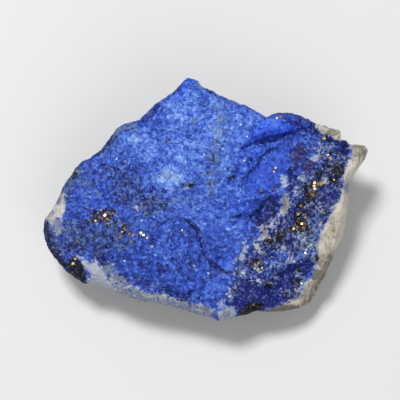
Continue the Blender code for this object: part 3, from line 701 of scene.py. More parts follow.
# Black ore around the nests of pyrite, at the left foot and down the right side
ORE_FOOT = [(70, 260), (76, 257), (80, 262), (83, 268), (85, 275), (86, 283), (80, 290), (70, 280)]
ORE_PATCHES = [(ORE_FOOT, 4.0, 1.25)]
ORE_BANDS = [([(46, 226), (50, 244), (60, 260), (72, 274)], 2.0, 0.5)]
ORE_SPOTS = [
    (97, 214, 6, 4, 0.85), (105, 213, 5, 4, 0.95), (113, 212, 4, 4, 0.9), (108, 224, 3, 5, 0.85),
    (93, 221, 4, 4, 0.75), (116, 221, 3, 3, 0.85), (124, 227, 3, 6, 0.95), (110, 218, 6, 5, 0.7),
    (100, 219, 8, 5, 0.55), (74, 174, 5, 6, 0.7), (72, 190, 3, 5, 0.6), (78, 182, 4, 6, 0.4),
    (338, 170, 6, 7, 1.05), (333, 180, 5, 5, 0.9), (341, 167, 4, 5, 0.9), (327, 165, 6, 5, 0.6),
    (330, 156, 6, 6, 0.5), (336, 152, 3, 5, 0.7), (320, 173, 5, 4, 0.9), (315, 178, 5, 4, 0.6),
    (305, 188, 5, 5, 0.8), (310, 196, 7, 7, 1.05), (301, 205, 6, 5, 1.1), (299, 214, 6, 5, 0.8),
    (305, 212, 5, 5, 0.7), (297, 222, 4, 5, 0.95), (303, 222, 6, 6, 0.75), (293, 229, 5, 3, 0.95),
    (301, 229, 6, 4, 0.9), (310, 231, 4, 5, 0.7), (280, 237, 6, 6, 0.85), (270, 242, 6, 5, 0.65),
    (273, 249, 4, 4, 0.6), (256, 261, 6, 4, 0.8), (259, 266, 5, 4, 0.6), (298, 280, 4, 3, 1.2),
    (299, 271, 2.5, 2.5, 1.0), (317, 258.5, 3, 3, 1.2), (288, 296, 4, 4, 0.6),
    (292, 281, 4, 4, 0.6), (254, 307, 9, 4.5, 1.3), (246, 313, 6, 4, 1.2), (328, 134, 3, 3, 0.5),
    (268, 287, 5, 4, 0.6), (263, 228, 3, 3, 0.3), (232, 291, 2.5, 2, 0.8), (246, 262, 4, 3, 0.5),
    (232, 178, 3, 2.5, 0.9), (168.5, 139, 2.5, 2, 0.8), (233, 172, 2, 2, 0.6),
    (190, 186, 7, 2.5, 0.55), (205, 103, 2.5, 3, 0.6), (178, 129, 2, 2, 0.5),
]

ore = zone(ORE_PATCHES, ORE_BANDS, ORE_SPOTS)

# Smooth plates, where the break shows hardly any grain
GROOVE_PLATE = [(246, 146), (256, 136), (264, 122), (284, 122), (294, 128), (288, 136), (262, 142)]
HUMP_PLATE = [(262, 116), (276, 113), (296, 117), (306, 126), (288, 124)]
LOW_PLATE = [(206, 228), (224, 226), (238, 236), (236, 256), (231, 271), (216, 266), (207, 250)]
PLATE_CORNER = [(222, 264), (232, 262), (233, 270), (226, 272)]
FOOT_PLATE = [(262, 286), (276, 288), (283, 300), (272, 310), (262, 306)]
SMOOTH_PATCHES = [
    (BRIGHT_PLATE, 5.0, 0.65),
    (GROOVE_PLATE, 4.0, 0.5),
    (HUMP_PLATE, 4.0, 0.5),
    (LOW_PLATE, 6.0, 0.2),
    (PLATE_CORNER, 3.0, 0.8),
    (DEEP_BAND, 4.0, 0.7),
    (CALCITE_FLANK, 5.0, 0.9),
    (LAVENDER_NEST, 5.0, 0.8),
    (CALCITE_PATCH, 6.0, 0.8),
    (FOOT_PLATE, 5.0, 0.4),
]

smooth = zone(SMOOTH_PATCHES, [], [])

# Painted glints: white flecks where cleavage faces would flash, each a pixel or so across: x, y and
# strength
GLINT_REACH = 1.0
GLINTS = [
    (182, 118.5, 0.8), (204, 128.5, 0.8), (240.7, 124.5, 1.0), (247, 136.4, 1.0), (244.3, 160.6, 1.3),
    (204, 154.6, 1.1), (204, 166, 0.7), (218.5, 144.4, 0.9), (223, 149, 0.8), (169, 169.5, 0.8),
    (179, 160.5, 0.5), (117, 158.6, 0.9), (125, 161.4, 0.8), (101, 170.7, 0.7), (141, 150, 0.6),
    (155.5, 156.5, 0.5), (141.5, 220.5, 0.9), (124.5, 261, 1.0), (113, 264.5, 0.8), (239, 201, 0.8),
    (301.5, 283.5, 1.4), (288.5, 258.5, 0.9), (273, 228, 0.9), (305, 237.5, 0.9), (243, 273, 0.9),
    (229, 296.5, 0.9), (208, 273, 0.9), (313, 176, 0.6), (325, 181, 0.7), (146, 262, 0.6),
    (258, 268, 0.8), (262, 263, 0.7), (251, 278, 0.8), (260, 280, 0.7), (254, 305, 0.7), (177, 302, 0.7),
    (190, 147, 0.5), (212, 150, 0.5), (196, 176, 0.5), (150, 196, 0.5), (128, 202, 0.5), (160, 224, 0.4),
    (174, 240, 0.4), (222, 220, 0.5), (196, 250, 0.4), (236, 140, 0.5), (232, 156, 0.4), (270, 176, 0.4),
]
glints = spots([(x, y, GLINT_REACH, GLINT_REACH, strength) for x, y, strength in GLINTS])

# The back and the foot of the stone aren't seen: pale calcite rock there, with blue left in it.
# They are whitest on the side of the calcite flank, and keep a share of what the face shows.
BACK_WHITE = 0.52
BACK_WHITE_SWING = 0.3
BACK_WHITEST = math.radians(50)
FACE_SHARE_KEPT = 0.8

back_turn = np.arctan2(places[:, 1], places[:, 0])
back_white = BACK_WHITE + BACK_WHITE_SWING * np.cos(back_turn + BACK_WHITEST)


def seen_or(values, unseen):
    return shown * values + (1 - shown) * np.maximum(values * FACE_SHARE_KEPT, unseen)


ZONES = {
    "white": seen_or(white, unseen=back_white),
    "cream": seen_or(cream, unseen=0.5),
    "stain_and_shadow": seen_or(stain_and_shadow, unseen=0.3),
    "night": seen_or(night, unseen=0.35),
    "violet": shown * violet,
    "pale": seen_or(pale, unseen=0.25),
    "grey": seen_or(grey, unseen=0.3),
    "ore": seen_or(ore, unseen=0.12),
    "smooth": seen_or(smooth, unseen=0.3),
    "pure": shown * pure,
    "mixed": seen_or(mixed, unseen=0.5),
    "glint": shown * glints,
}
for zone, values in ZONES.items():
    attribute = stone.data.attributes.new(zone, "FLOAT", "POINT")
    attribute.data.foreach_set("value", values.astype(np.float32))


# The grain of the break. Crystals stand out of it as small tilted flats with fine sugar between
# them. Geometry Nodes move the skin along its normals, and less where a plate broke smooth.
def node(tree, kind, inputs=None, **settings):
    """Adds a node. An input takes a value or the socket that feeds it."""
    made = tree.nodes.new(kind)
    for name, value in settings.items():
        setattr(made, name, value)
    for name, value in (inputs or {}).items():
        if isinstance(value, bpy.types.NodeSocket):
            tree.links.new(value, made.inputs[name])
        else:
            made.inputs[name].default_value = value
    return made


def maths(tree, operation, *values):
    """The outcome of one sum on numbers."""
    return node(tree, "ShaderNodeMath", dict(enumerate(values)), operation=operation).outputs[0]


def vectors(tree, operation, *values, out=0):
    """The outcome of one sum on vectors."""
    return node(tree, "ShaderNodeVectorMath", dict(enumerate(values)), operation=operation).outputs[out]


grain = bpy.data.node_groups.new("broken_grain", "GeometryNodeTree")
GRAIN_SIZES = {
    "Flat Size": 1.7 * MM,
    "Flat Height": 0.33 * MM,
    "Small Flat Size": 0.75 * MM,
    "Small Flat Height": 0.25 * MM,
    "Sugar Size": 0.5 * MM,
    "Sugar Height": 0.14 * MM,
    "Share on Plates": 0.25,
}
SUGAR_DETAIL = 2.0

grain.interface.new_socket("Geometry", in_out="INPUT", socket_type="NodeSocketGeometry")
for name in GRAIN_SIZES:
    grain.interface.new_socket(name, in_out="INPUT", socket_type="NodeSocketFloat")
grain.interface.new_socket("Material", in_out="INPUT", socket_type="NodeSocketMaterial")
grain.interface.new_socket("Geometry", in_out="OUTPUT", socket_type="NodeSocketGeometry")
given = node(grain, "NodeGroupInput").outputs
at = node(grain, "GeometryNodeInputPosition").outputs[0]
normal = node(grain, "GeometryNodeInputNormal").outputs[0]


def tilted_flats(tree, place, size, height):
    """Height of a cell's flat, which leans a way of its own."""
    cell_size = node(tree, "ShaderNodeCombineXYZ", {0: size, 1: size, 2: size}).outputs[0]
    scaled = vectors(tree, "DIVIDE", place, cell_size)
    cell = node(tree, "ShaderNodeTexVoronoi", {"Vector": scaled, "Scale": 1.0})
    lean = vectors(tree, "SUBTRACT", cell.outputs["Color"], (0.5, 0.5, 0.5))
    off = vectors(tree, "SUBTRACT", scaled, cell.outputs["Position"])
    return maths(tree, "MULTIPLY", vectors(tree, "DOT_PRODUCT", lean, off, out="Value"), height)


flats = tilted_flats(grain, at, given["Flat Size"], given["Flat Height"])
small_flats = tilted_flats(grain, at, given["Small Flat Size"], given["Small Flat Height"])
sugar_scale = maths(grain, "DIVIDE", 1.0, given["Sugar Size"])
sugar_inputs = {"Vector": at, "Scale": sugar_scale, "Detail": SUGAR_DETAIL}
sugar = node(grain, "ShaderNodeTexNoise", sugar_inputs).outputs[0]
sugar = maths(grain, "MULTIPLY", maths(grain, "SUBTRACT", sugar, 0.5), given["Sugar Height"])
rise = maths(grain, "ADD", maths(grain, "ADD", flats, small_flats), sugar)
evenness = node(
    grain, "GeometryNodeInputNamedAttribute", {"Name": "smooth"}, data_type="FLOAT"
).outputs[0]
less = maths(grain, "MULTIPLY", maths(grain, "SUBTRACT", 1.0, given["Share on Plates"]), evenness)
rise = maths(grain, "MULTIPLY", rise, maths(grain, "SUBTRACT", 1.0, less))
moved = vectors(grain, "SCALE", normal)
grain.links.new(rise, moved.node.inputs["Scale"])
skin = node(
    grain, "GeometryNodeSetPosition", {"Geometry": given["Geometry"], "Offset": moved}
).outputs[0]
real = node(grain, "GeometryNodeRealizeInstances", {"Geometry": skin}).outputs[0]
dressed = node(
    grain, "GeometryNodeSetMaterial", {"Geometry": real, "Material": given["Material"]}
).outputs[0]
node(grain, "NodeGroupOutput", {"Geometry": dressed})

lapis = bpy.data.materials.new("lapis_rock")
breaking = stone.modifiers.new("broken_grain", "NODES")
breaking.node_group = grain
for socket in grain.interface.items_tree:
    if socket.in_out == "INPUT" and socket.name in GRAIN_SIZES:
        breaking[socket.identifier] = GRAIN_SIZES[socket.name]
    if socket.in_out == "INPUT" and socket.name == "Material":
        breaking[socket.identifier] = lapis
settle(stone)

# It rests on its own flat spot: nothing of the grain reaches below the floor
resting = read_points(stone.data, "co")
resting[:, 2] = np.maximum(resting[:, 2], cad_low.z)
write_places(stone.data, resting)
stone.data.shade_smooth()

# The rock's finish. Blue lazurite in grains of several depths, white calcite that breaks through
# it in veins and flanks, dark rock between, painted light and shade laid into these colours, and
# painted glints where small cleavage faces would flash.
BLUES = [
    (0.0, (0.008, 0.015, 0.105, 1)),
    (0.25, (0.018, 0.042, 0.26, 1)),
    (0.5, (0.043, 0.100, 0.48, 1)),
    (0.75, (0.105, 0.215, 0.63, 1)),
    (1.0, (0.26, 0.40, 0.74, 1)),
]
PURE_BLUES = [
    (0.0, (0.006, 0.014, 0.15, 1)),
    (0.25, (0.012, 0.036, 0.36, 1)),
    (0.5, (0.036, 0.105, 0.68, 1)),
    (1.0, (0.16, 0.30, 0.86, 1)),
]
GREY_ROCK = (0.13, 0.19, 0.25, 1)
NIGHT_BLUE = (0.005, 0.008, 0.080, 1)
DEEP_BLUE = (0.006, 0.019, 0.22, 1)
VIOLET_ROCK = (0.028, 0.023, 0.098, 1)
DARK_SPECK = (0.13, 0.16, 0.42, 1)
DULL_FLECK = (0.035, 0.055, 0.09, 1)
MILKY_ROCK = (0.19, 0.26, 0.46, 1)
COLD_WHITE = (0.36, 0.40, 0.47, 1)
CREAM = (0.605, 0.565, 0.455, 1)
GREY_STAIN_AND_SHADOW = (0.11, 0.12, 0.165, 1)
BROWN_STAIN_AND_SHADOW = (0.095, 0.075, 0.047, 1)
BLACK_ORE = (0.006, 0.006, 0.008, 1)
OLIVE_ORE = (0.075, 0.065, 0.042, 1)
GLINT = (0.80, 0.85, 0.95, 1)

# Where a rock shows over the ones before it: from nothing at one value of its pattern to its full
# share at another
Over = namedtuple("Over", "starts full share")
GREY_OVER = Over(0.2, 0.8, 0.72)
DARK_SPECKS_OVER = Over(0.54, 0.86, 0.6)
NIGHT_OVER = Over(0.25, 0.65, 0.96)
FLECKS_OVER = Over(0.66, 0.76, 0.6)
MILKY_RIM_OVER = Over(0.25, 0.7, 0.45)
STAIN_AND_SHADOW_OVER = Over(0.12, 1.05, 0.88)
WHITE_OVER = Over(0.38, 0.9, 0.95)
ORE_OVER = Over(0.34, 0.6, 0.94)
PURE_SHARE = 0.85
DEEP_SHARE = 0.8
MILKY_SHARE = 0.75
SALT_SHARE = 0.6
STRAY_GLINTS = 0.6
GLINT_SHARE = 0.85
GLINT_SIZE = 0.4
SMOOTHED_SHARE = 0.6
NOISE_ROUGHNESS = 0.6
STROKE_STRETCH = (1, 0.28, 0.28)
STROKE_DETAIL = 1.0
STROKE_TWIST = 0.4
ROUGHNESS = 0.62
SPECULAR = 0.1
FACET_SIZE = 0.55 * MM
FACET_LEAN = 1.2
BUMP_STRENGTH = 0.7
BUMP_DEPTH = 0.2 * MM

lapis.use_nodes = True
rock = lapis.node_tree
shader = rock.nodes["Principled BSDF"]
where = node(rock, "ShaderNodeTexCoord").outputs["Object"]


def noise_of(size, detail=2.0, turned=0.0, twist=0.0, stretch=(1, 1, 1)):
    """Noise with features of a size in millimetres. Its values lie around 0.5."""
    turns = (turned, turned * 2, turned)
    place = node(rock, "ShaderNodeMapping", {"Vector": where, "Rotation": turns, "Scale": stretch})
    inputs = {
        "Vector": place.outputs[0], "Scale": 1 / (size * MM), "Detail": detail,
        "Roughness": NOISE_ROUGHNESS, "Distortion": twist,
    }
    return node(rock, "ShaderNodeTexNoise", inputs).outputs[0]


def share_of(zone_name):
    """A zone's share at each point of the skin."""
    return node(rock, "ShaderNodeAttribute", attribute_name=zone_name).outputs["Fac"]


def span(value, low, high):
    """Reads a value between two bounds as a smooth share."""
    inputs = {"Value": value, "From Min": low, "From Max": high}
    return node(rock, "ShaderNodeMapRange", inputs, interpolation_type="SMOOTHSTEP").outputs[0]


def blend(share, under, over):
    """Lays a colour over another by a share."""
    made = node(rock, "ShaderNodeMix", data_type="RGBA")
    for index, value in ((0, share), (6, under), (7, over)):
        if isinstance(value, bpy.types.NodeSocket):
            rock.links.new(value, made.inputs[index])
        else:
            made.inputs[index].default_value = value
    return made.outputs[2]


def ramp(value, stops):
    """A colour from a row of stops."""
    made = node(rock, "ShaderNodeValToRGB", {"Fac": value})
    elements = made.color_ramp.elements
    while len(elements) < len(stops):
        elements.new(0.5)
    for element, (at_value, colour) in zip(elements, stops, strict=True):
        element.position = at_value
        element.color = colour
    return made.outputs[0]


def plus(*values):
    """The sum of several values."""
    total = values[0]
    for value in values[1:]:
        total = maths(rock, "ADD", total, value)
    return total


def times(a, b):
    """The product of two values."""
    return maths(rock, "MULTIPLY", a, b)


def around(value, strength):
    """A noise as something to add: from below zero to above it."""
    return times(maths(rock, "SUBTRACT", value, 0.5), strength)


def cells_of(size):
    """Cells of a size in millimetres, each with a chance colour."""
    return node(rock, "ShaderNodeTexVoronoi", {"Vector": where, "Scale": 1 / (size * MM)})


def grains_of(size):
    """Three chance values for each crystal grain of a size in millimetres."""
    return node(rock, "ShaderNodeSeparateColor", {"Color": cells_of(size).outputs["Color"]}).outputs


def strokes_of(size, crystal):
    """Fine strokes, with their width in millimetres, that run another way in each crystal."""
    turns = vectors(rock, "MULTIPLY", cells_of(crystal).outputs["Color"], (math.tau, math.tau, math.tau))
    turned = node(
        rock, "ShaderNodeVectorRotate", {"Vector": where, "Rotation": turns}, rotation_type="EULER_XYZ"
    )
    place = vectors(rock, "MULTIPLY", turned.outputs[0], STROKE_STRETCH)
    inputs = {
        "Vector": place, "Scale": 1 / (size * MM), "Detail": STROKE_DETAIL, "Distortion": STROKE_TWIST,
    }
    return node(rock, "ShaderNodeTexNoise", inputs).outputs[0]


# The patterns that run through the rock, from wide clouds down to grains as fine as salt. The
# sizes are in millimetres. Each noise is turned another way, so that no two fall together.
clouds = noise_of(size=5.0)
mottle = noise_of(size=1.4, detail=3.0, turned=0.3)
specks = noise_of(size=0.6, turned=0.9, twist=0.6)
blots = noise_of(size=1.3, detail=3.0, turned=1.9)
fine_blots = noise_of(size=0.45, turned=2.6)
strokes = strokes_of(size=0.3, crystal=1.3)
long_strokes = strokes_of(size=0.42, crystal=2.6)
milk = noise_of(size=0.75, turned=3.3, twist=0.8)
flecks = noise_of(size=0.6, detail=1.0, turned=5.2, twist=0.5)
fibres = noise_of(size=0.35, twist=0.3, stretch=(1.0, 0.3, 0.3))
crinkles = noise_of(size=0.8, turned=1.2, twist=1.2)
white_break = noise_of(size=0.9, detail=3.0, turned=4.1)
big_grains = grains_of(size=0.85)
small_grains = grains_of(size=0.4)
salt_grains = grains_of(size=0.33)
mix = share_of("mixed")
calm = plus(1.0, times(share_of("smooth"), -SMOOTHED_SHARE))


def lay(value, over, under, colour_over):
    """Lays a colour over another where a pattern's value is high enough."""
    share = times(span(value, over.starts, over.full), over.share)
    return blend(share, under, colour_over)


# The blue, with thin pale lines where the crystals of the break meet, and the grey rock in it. Each
# number beside a pattern is how strongly it moves the blue up and down its row of tones.
lines = span(maths(rock, "ABSOLUTE", around(crinkles, 1.0)), 0.035, 0.0)
# The pale share brings in painted light and painted shade along with the blue's own tones
blueness = plus(
    times(share_of("pale"), 0.34), 0.37, around(clouds, 0.42),
    times(calm, plus(
        around(mottle, 0.35), around(specks, 0.33), around(strokes, 1.0), around(long_strokes, 0.55),
        times(lines, 0.12), around(small_grains["Blue"], 0.22), around(big_grains["Blue"], 0.16),
    )),
)
colour = ramp(blueness, BLUES)
colour = blend(times(share_of("pure"), PURE_SHARE), colour, ramp(blueness, PURE_BLUES))
greyish = plus(
    times(share_of("grey"), 0.75), around(blots, 1.0), around(specks, 0.6),
    around(small_grains["Red"], 0.5),
)
colour = lay(greyish, GREY_OVER, colour, GREY_ROCK)

# The dark rock, violet or blue, with lighter specks in it, and dull flecks here and there. The same
# colour is laid as painted shade on the edges, under the steps, in the groove and in the cracks, and
# as painted shadow down the bottom edge.
nightly = plus(
    times(share_of("night"), 0.9), times(mix, 0.4), around(blots, 1.0), around(fine_blots, 1.1),
    times(calm, around(small_grains["Green"], 0.4)), around(big_grains["Green"], 0.15),
)
dark_rock_and_shade = blend(span(share_of("violet"), 0.1, 0.8), NIGHT_BLUE, VIOLET_ROCK)
dark_rock_and_shade = blend(times(share_of("pure"), DEEP_SHARE), dark_rock_and_shade, DEEP_BLUE)
dark_specks = plus(strokes, around(salt_grains["Blue"], 0.45))
dark_rock_and_shade = lay(dark_specks, DARK_SPECKS_OVER, dark_rock_and_shade, DARK_SPECK)
colour = lay(nightly, NIGHT_OVER, colour, dark_rock_and_shade)
colour = lay(plus(flecks, times(share_of("grey"), 0.06)), FLECKS_OVER, colour, DULL_FLECK)

# Milky blots and single white grains in the salt and pepper rock
milky = times(span(plus(milk, around(small_grains["Red"], 0.4)), 0.5, 0.85), span(mix, 0.3, 0.9))
colour = blend(times(milky, MILKY_SHARE), colour, MILKY_ROCK)
salty = span(plus(times(mix, 0.8), around(crinkles, 1.6)), 0.4, 1.0)
salt = times(span(salt_grains["Red"], 0.8, 1.0), salty)
colour = blend(times(salt, SALT_SHARE), colour, COLD_WHITE)

# The calcite, with a milky rim where it thins out over the blue, and stains that follow its fibres.
# The stain share also lays painted shadow down the bottom edge.
whitish = plus(share_of("white"), times(calm, plus(
    around(white_break, 1.15), around(small_grains["Red"], 0.6), around(strokes, 0.7),
)))
colour = lay(whitish, MILKY_RIM_OVER, colour, MILKY_ROCK)
calcite = blend(share_of("cream"), COLD_WHITE, CREAM)
stained_and_shadowed = plus(
    share_of("stain_and_shadow"), around(mottle, 0.7), around(fibres, 0.9), around(small_grains["Blue"], 0.25),
)
stain_and_shadow_rock = blend(share_of("cream"), GREY_STAIN_AND_SHADOW, BROWN_STAIN_AND_SHADOW)
calcite = lay(stained_and_shadowed, STAIN_AND_SHADOW_OVER, calcite, stain_and_shadow_rock)
colour = lay(whitish, WHITE_OVER, colour, calcite)

# The ore, and last the painted glints where cleavage faces would flash, strayed over the rock or
# placed
orey = plus(share_of("ore"), around(fine_blots, 1.5), around(small_grains["Green"], 0.5))
ore_rock = blend(span(salt_grains["Green"], 0.74, 1.0), BLACK_ORE, OLIVE_ORE)
colour = lay(orey, ORE_OVER, colour, ore_rock)
glint_cells = cells_of(GLINT_SIZE)
pick = node(rock, "ShaderNodeSeparateColor", {"Color": glint_cells.outputs["Color"]}).outputs
near_middle = span(glint_cells.outputs["Distance"], 0.32, 0.14)
picked = times(span(pick["Red"], 0.94, 0.97), times(pick["Green"], STRAY_GLINTS))
stray = times(near_middle, picked)
glint = maths(rock, "MAXIMUM", stray, span(share_of("glint"), 0.25, 0.8))
colour = blend(times(glint, GLINT_SHARE), colour, GLINT)

roughness = plus(ROUGHNESS, around(specks, 0.5), times(glint, -0.3))
facets = tilted_flats(rock, where, FACET_SIZE, FACET_LEAN)
height = plus(
    times(specks, 0.3), times(strokes, 0.5), times(long_strokes, 0.5), times(crinkles, 0.4), facets,
)
bump_inputs = {"Height": height, "Strength": BUMP_STRENGTH, "Distance": BUMP_DEPTH}
bump = node(rock, "ShaderNodeBump", bump_inputs).outputs[0]
rock.links.new(colour, shader.inputs["Base Color"])
rock.links.new(roughness, shader.inputs["Roughness"])
rock.links.new(bump, shader.inputs["Normal"])
shader.inputs["Specular IOR Level"].default_value = SPECULAR

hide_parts("lapis_stone")
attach(stone, "root")

# Pyrite. Small brassy crystals grown in the rock, in nests and alone: each is a block of iron
# sulphide, set halfway into the surface and turned its own way. Single ones are bright, and those of
# the nests are darker, partly tarnish and partly painted reflection of dark surroundings, some
# nearly black.
PYRITE_SEED = 11
GRAIN_SHARE = 0.82
BRIGHT_TARNISH_AND_REFLECTION = (0, 0.45)
NEST_TARNISH_AND_REFLECTION = (0.45, 1)
NEST_WIDTHS = (0.12, 0.3)
NEST_SPREAD = 0.5
CRYSTAL_SIDES = (1.0, 0.9, 0.8)
WHOLE_TURN = (6.28, 6.28, 6.28)
BRASS = (0.84, 0.63, 0.29, 1)
# The darker brass is partly tarnish and partly painted reflection of dark surroundings
TARNISH_AND_DARK_REFLECTION = (0.10, 0.085, 0.06, 1)
BRASS_ROUGHNESS = 0.45
TARNISH_ROUGHENS = 0.25
# Single grains and the brightest ones of the nests: x, y and width in millimetres
PYRITE_GRAINS = [
    (105, 215.5, 0.55), (98, 213, 0.4), (106.5, 212.5, 0.45), (113, 213, 0.4), (108, 219, 0.4),
    (95.5, 221, 0.4), (92, 208.5, 0.3), (101, 210, 0.3), (109, 224, 0.4), (129, 234, 0.5),
    (133.5, 234.5, 0.45), (120, 236.5, 0.55), (141, 233, 0.5), (143.5, 235.2, 0.45),
    (147, 238, 0.5), (131.5, 242, 0.55), (152, 246.5, 0.5), (78, 242, 0.45), (73.5, 263.5, 0.6),
    (73, 188.5, 0.45), (77.5, 171.5, 0.4), (320, 183, 0.95), (318, 184, 0.6), (314.5, 183, 0.55),
    (314, 186, 0.55), (314.5, 189, 0.6), (312.5, 195, 0.75), (329, 170, 0.5), (330, 158.5, 0.7),
    (328, 155, 0.35), (324, 138, 0.6), (300.5, 206, 0.55), (297.5, 214, 0.5), (305.5, 217, 0.5),
    (302, 224, 0.5), (293.5, 229, 0.5), (297, 227, 0.35), (303, 227, 0.4), (323.5, 213, 0.55),
    (321, 222, 0.3), (305.5, 253.5, 0.5), (264, 252.5, 0.5), (276, 168, 0.5), (274, 171.5, 0.45),
    (260.5, 191, 0.5), (280, 117, 0.5), (277, 118, 0.35), (285, 120.5, 0.4), (310, 231, 0.35),
    (303, 189, 0.35), (209, 127, 0.25), (334, 180, 0.3), (276, 231, 0.3), (182, 230.5, 0.35),
    (262, 268, 0.35), (253, 305, 0.3),
]
# Nests of smaller grains: middle, reach across and up in pixels, and how many
PYRITE_NESTS = [
    (103, 216, 12, 8, 34), (124, 228, 4, 6, 8), (314, 189, 8, 12, 22), (302, 218, 8, 14, 22),
    (331, 166, 7, 14, 18), (297, 228, 10, 5, 12), (272, 242, 8, 8, 8), (256, 266, 9, 8, 8),
    (74, 263, 4, 4, 4), (285, 290, 12, 10, 5), (130, 240, 18, 8, 6), (320, 210, 14, 14, 6),
]

tree_of_faces = BVHTree.FromPolygons(
    [vert.co.copy() for vert in stone.data.vertices],
    [tuple(face.vertices) for face in stone.data.polygons],
)


def on_stone(x, y):
    """The point of the stone that is seen at a place in the picture, or None."""
    sideways = (x - PICTURE / 2) / PIXELS_PER_UNIT_SLOPE
    upwards = (PICTURE / 2 - y) / PIXELS_PER_UNIT_SLOPE
    way = (view_right * sideways + view_up * upwards - view_back).normalized()
    return tree_of_faces.ray_cast(eye, way)[0]


random = np.random.default_rng(PYRITE_SEED)
grain_places = []
grain_widths = []
grain_tarnish_and_reflection = []


def set_grain(x, y, width, dulled):
    """Notes a grain of a width in millimetres where the stone is seen at a place in the picture."""
    point = on_stone(x, y)
    if point is not None:
        grain_places.append(point)
        grain_widths.append(width * MM)
        grain_tarnish_and_reflection.append(dulled)


for x, y, width in PYRITE_GRAINS:
    set_grain(x, y, width * GRAIN_SHARE, random.uniform(*BRIGHT_TARNISH_AND_REFLECTION))
for x, y, across, up, count in PYRITE_NESTS:
    for _ in range(count):
        dx, dy = random.normal(0, NEST_SPREAD, 2)
        width = random.uniform(*NEST_WIDTHS)
        set_grain(x + dx * across, y + dy * up, width, random.uniform(*NEST_TARNISH_AND_REFLECTION))

seeds = bpy.data.meshes.new("pyrite_seeds")
seeds.from_pydata(grain_places, [], [])
widths = seeds.attributes.new("width", "FLOAT", "POINT")
widths.data.foreach_set("value", np.array(grain_widths, np.float32))
tarnish_and_reflection = seeds.attributes.new("tarnish_and_reflection", "FLOAT", "POINT")
tarnish_and_reflection.data.foreach_set("value", np.array(grain_tarnish_and_reflection, np.float32))
pyrite = bpy.data.objects.new("pyrite_grains", seeds)
bpy.context.scene.collection.objects.link(pyrite)

brass = bpy.data.materials.new("pyrite")
brass.use_nodes = True
brass_tree = brass.node_tree
brass_shader = brass_tree.nodes["Principled BSDF"]
dullness = node(brass_tree, "ShaderNodeAttribute", attribute_name="tarnish_and_reflection").outputs["Fac"]
brass_colour = node(brass_tree, "ShaderNodeMix", data_type="RGBA")
brass_tree.links.new(dullness, brass_colour.inputs[0])
brass_colour.inputs[6].default_value = BRASS
brass_colour.inputs[7].default_value = TARNISH_AND_DARK_REFLECTION
brass_tree.links.new(brass_colour.outputs[2], brass_shader.inputs["Base Color"])
brass_finish = maths(brass_tree, "MULTIPLY_ADD", dullness, TARNISH_ROUGHENS, BRASS_ROUGHNESS)
brass_tree.links.new(brass_finish, brass_shader.inputs["Roughness"])
brass_shader.inputs["Metallic"].default_value = 1.0

crystals = bpy.data.node_groups.new("pyrite_crystals", "GeometryNodeTree")
crystals.interface.new_socket("Geometry", in_out="INPUT", socket_type="NodeSocketGeometry")
crystals.interface.new_socket("Seed", in_out="INPUT", socket_type="NodeSocketInt")
crystals.interface.new_socket("Material", in_out="INPUT", socket_type="NodeSocketMaterial")
crystals.interface.new_socket("Geometry", in_out="OUTPUT", socket_type="NodeSocketGeometry")
given = node(crystals, "NodeGroupInput").outputs
block = node(crystals, "GeometryNodeMeshCube", {"Size": CRYSTAL_SIDES}).outputs[0]
width = node(
    crystals, "GeometryNodeInputNamedAttribute", {"Name": "width"}, data_type="FLOAT"
).outputs[0]
turn_inputs = {0: (0.0, 0.0, 0.0), 1: WHOLE_TURN, "Seed": given["Seed"]}
turn = node(
    crystals, "FunctionNodeRandomValue", turn_inputs, data_type="FLOAT_VECTOR"
).outputs[0]
placed = node(crystals, "GeometryNodeInstanceOnPoints", {
    "Points": given["Geometry"], "Instance": block, "Rotation": turn, "Scale": width,
}).outputs[0]
real = node(crystals, "GeometryNodeRealizeInstances", {"Geometry": placed}).outputs[0]
dressed = node(
    crystals, "GeometryNodeSetMaterial", {"Geometry": real, "Material": given["Material"]}
).outputs[0]
node(crystals, "NodeGroupOutput", {"Geometry": dressed})
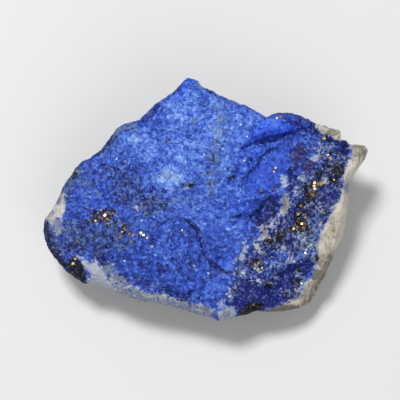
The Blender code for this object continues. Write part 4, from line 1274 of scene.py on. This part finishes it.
growth = pyrite.modifiers.new("crystals", "NODES")
growth.node_group = crystals
for socket in crystals.interface.items_tree:
    if socket.in_out == "INPUT" and socket.name == "Seed":
        growth[socket.identifier] = PYRITE_SEED
    if socket.in_out == "INPUT" and socket.name == "Material":
        growth[socket.identifier] = brass
settle(pyrite)
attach(pyrite, "root")

# The table that the stone lies on, and the studio light around it. The board is plain, pale and
# matt. One soft light stands over the upper left, a wide one fills in from below the stone.
FLOOR_SIZE = 3.0
FLOOR_COLOUR = (0.62, 0.62, 0.62, 1)
FLOOR_ROUGHNESS = 0.8
SKY_COLOUR = (1, 1, 1, 1)
SKY_STRENGTH = 0.32

floor_mesh = bpy.data.meshes.new("floor")
floor_form = bmesh.new()
bmesh.ops.create_grid(floor_form, x_segments=1, y_segments=1, size=FLOOR_SIZE / 2)
floor_form.to_mesh(floor_mesh)
floor_form.free()
floor = bpy.data.objects.new("floor", floor_mesh)
bpy.context.scene.collection.objects.link(floor)
floor_finish = bpy.data.materials.new("pale_floor")
floor_finish.use_nodes = True
floor_shader = floor_finish.node_tree.nodes["Principled BSDF"]
floor_shader.inputs["Base Color"].default_value = FLOOR_COLOUR
floor_shader.inputs["Roughness"].default_value = FLOOR_ROUGHNESS
floor_mesh.materials.append(floor_finish)


def softbox(name, place, size, power):
    """A square soft light that looks at the stone."""
    data = bpy.data.lights.new(name, "AREA")
    data.size = size
    data.energy = power
    light = bpy.data.objects.new(name, data)
    light.location = place
    light.rotation_euler = (FACE_MIDDLE - Vector(place)).to_track_quat("-Z", "Y").to_euler()
    bpy.context.scene.collection.objects.link(light)


softbox("key", place=(-0.15, 0.18, 0.58), size=0.14, power=3.5)
softbox("fill", place=(0.12, -0.42, 0.40), size=0.5, power=1.25)
world = bpy.data.worlds.new("studio")
world.use_nodes = True
sky = world.node_tree.nodes["Background"]
sky.inputs["Color"].default_value = SKY_COLOUR
sky.inputs["Strength"].default_value = SKY_STRENGTH
bpy.context.scene.world = world
bpy.context.scene.view_settings.view_transform = "Standard"
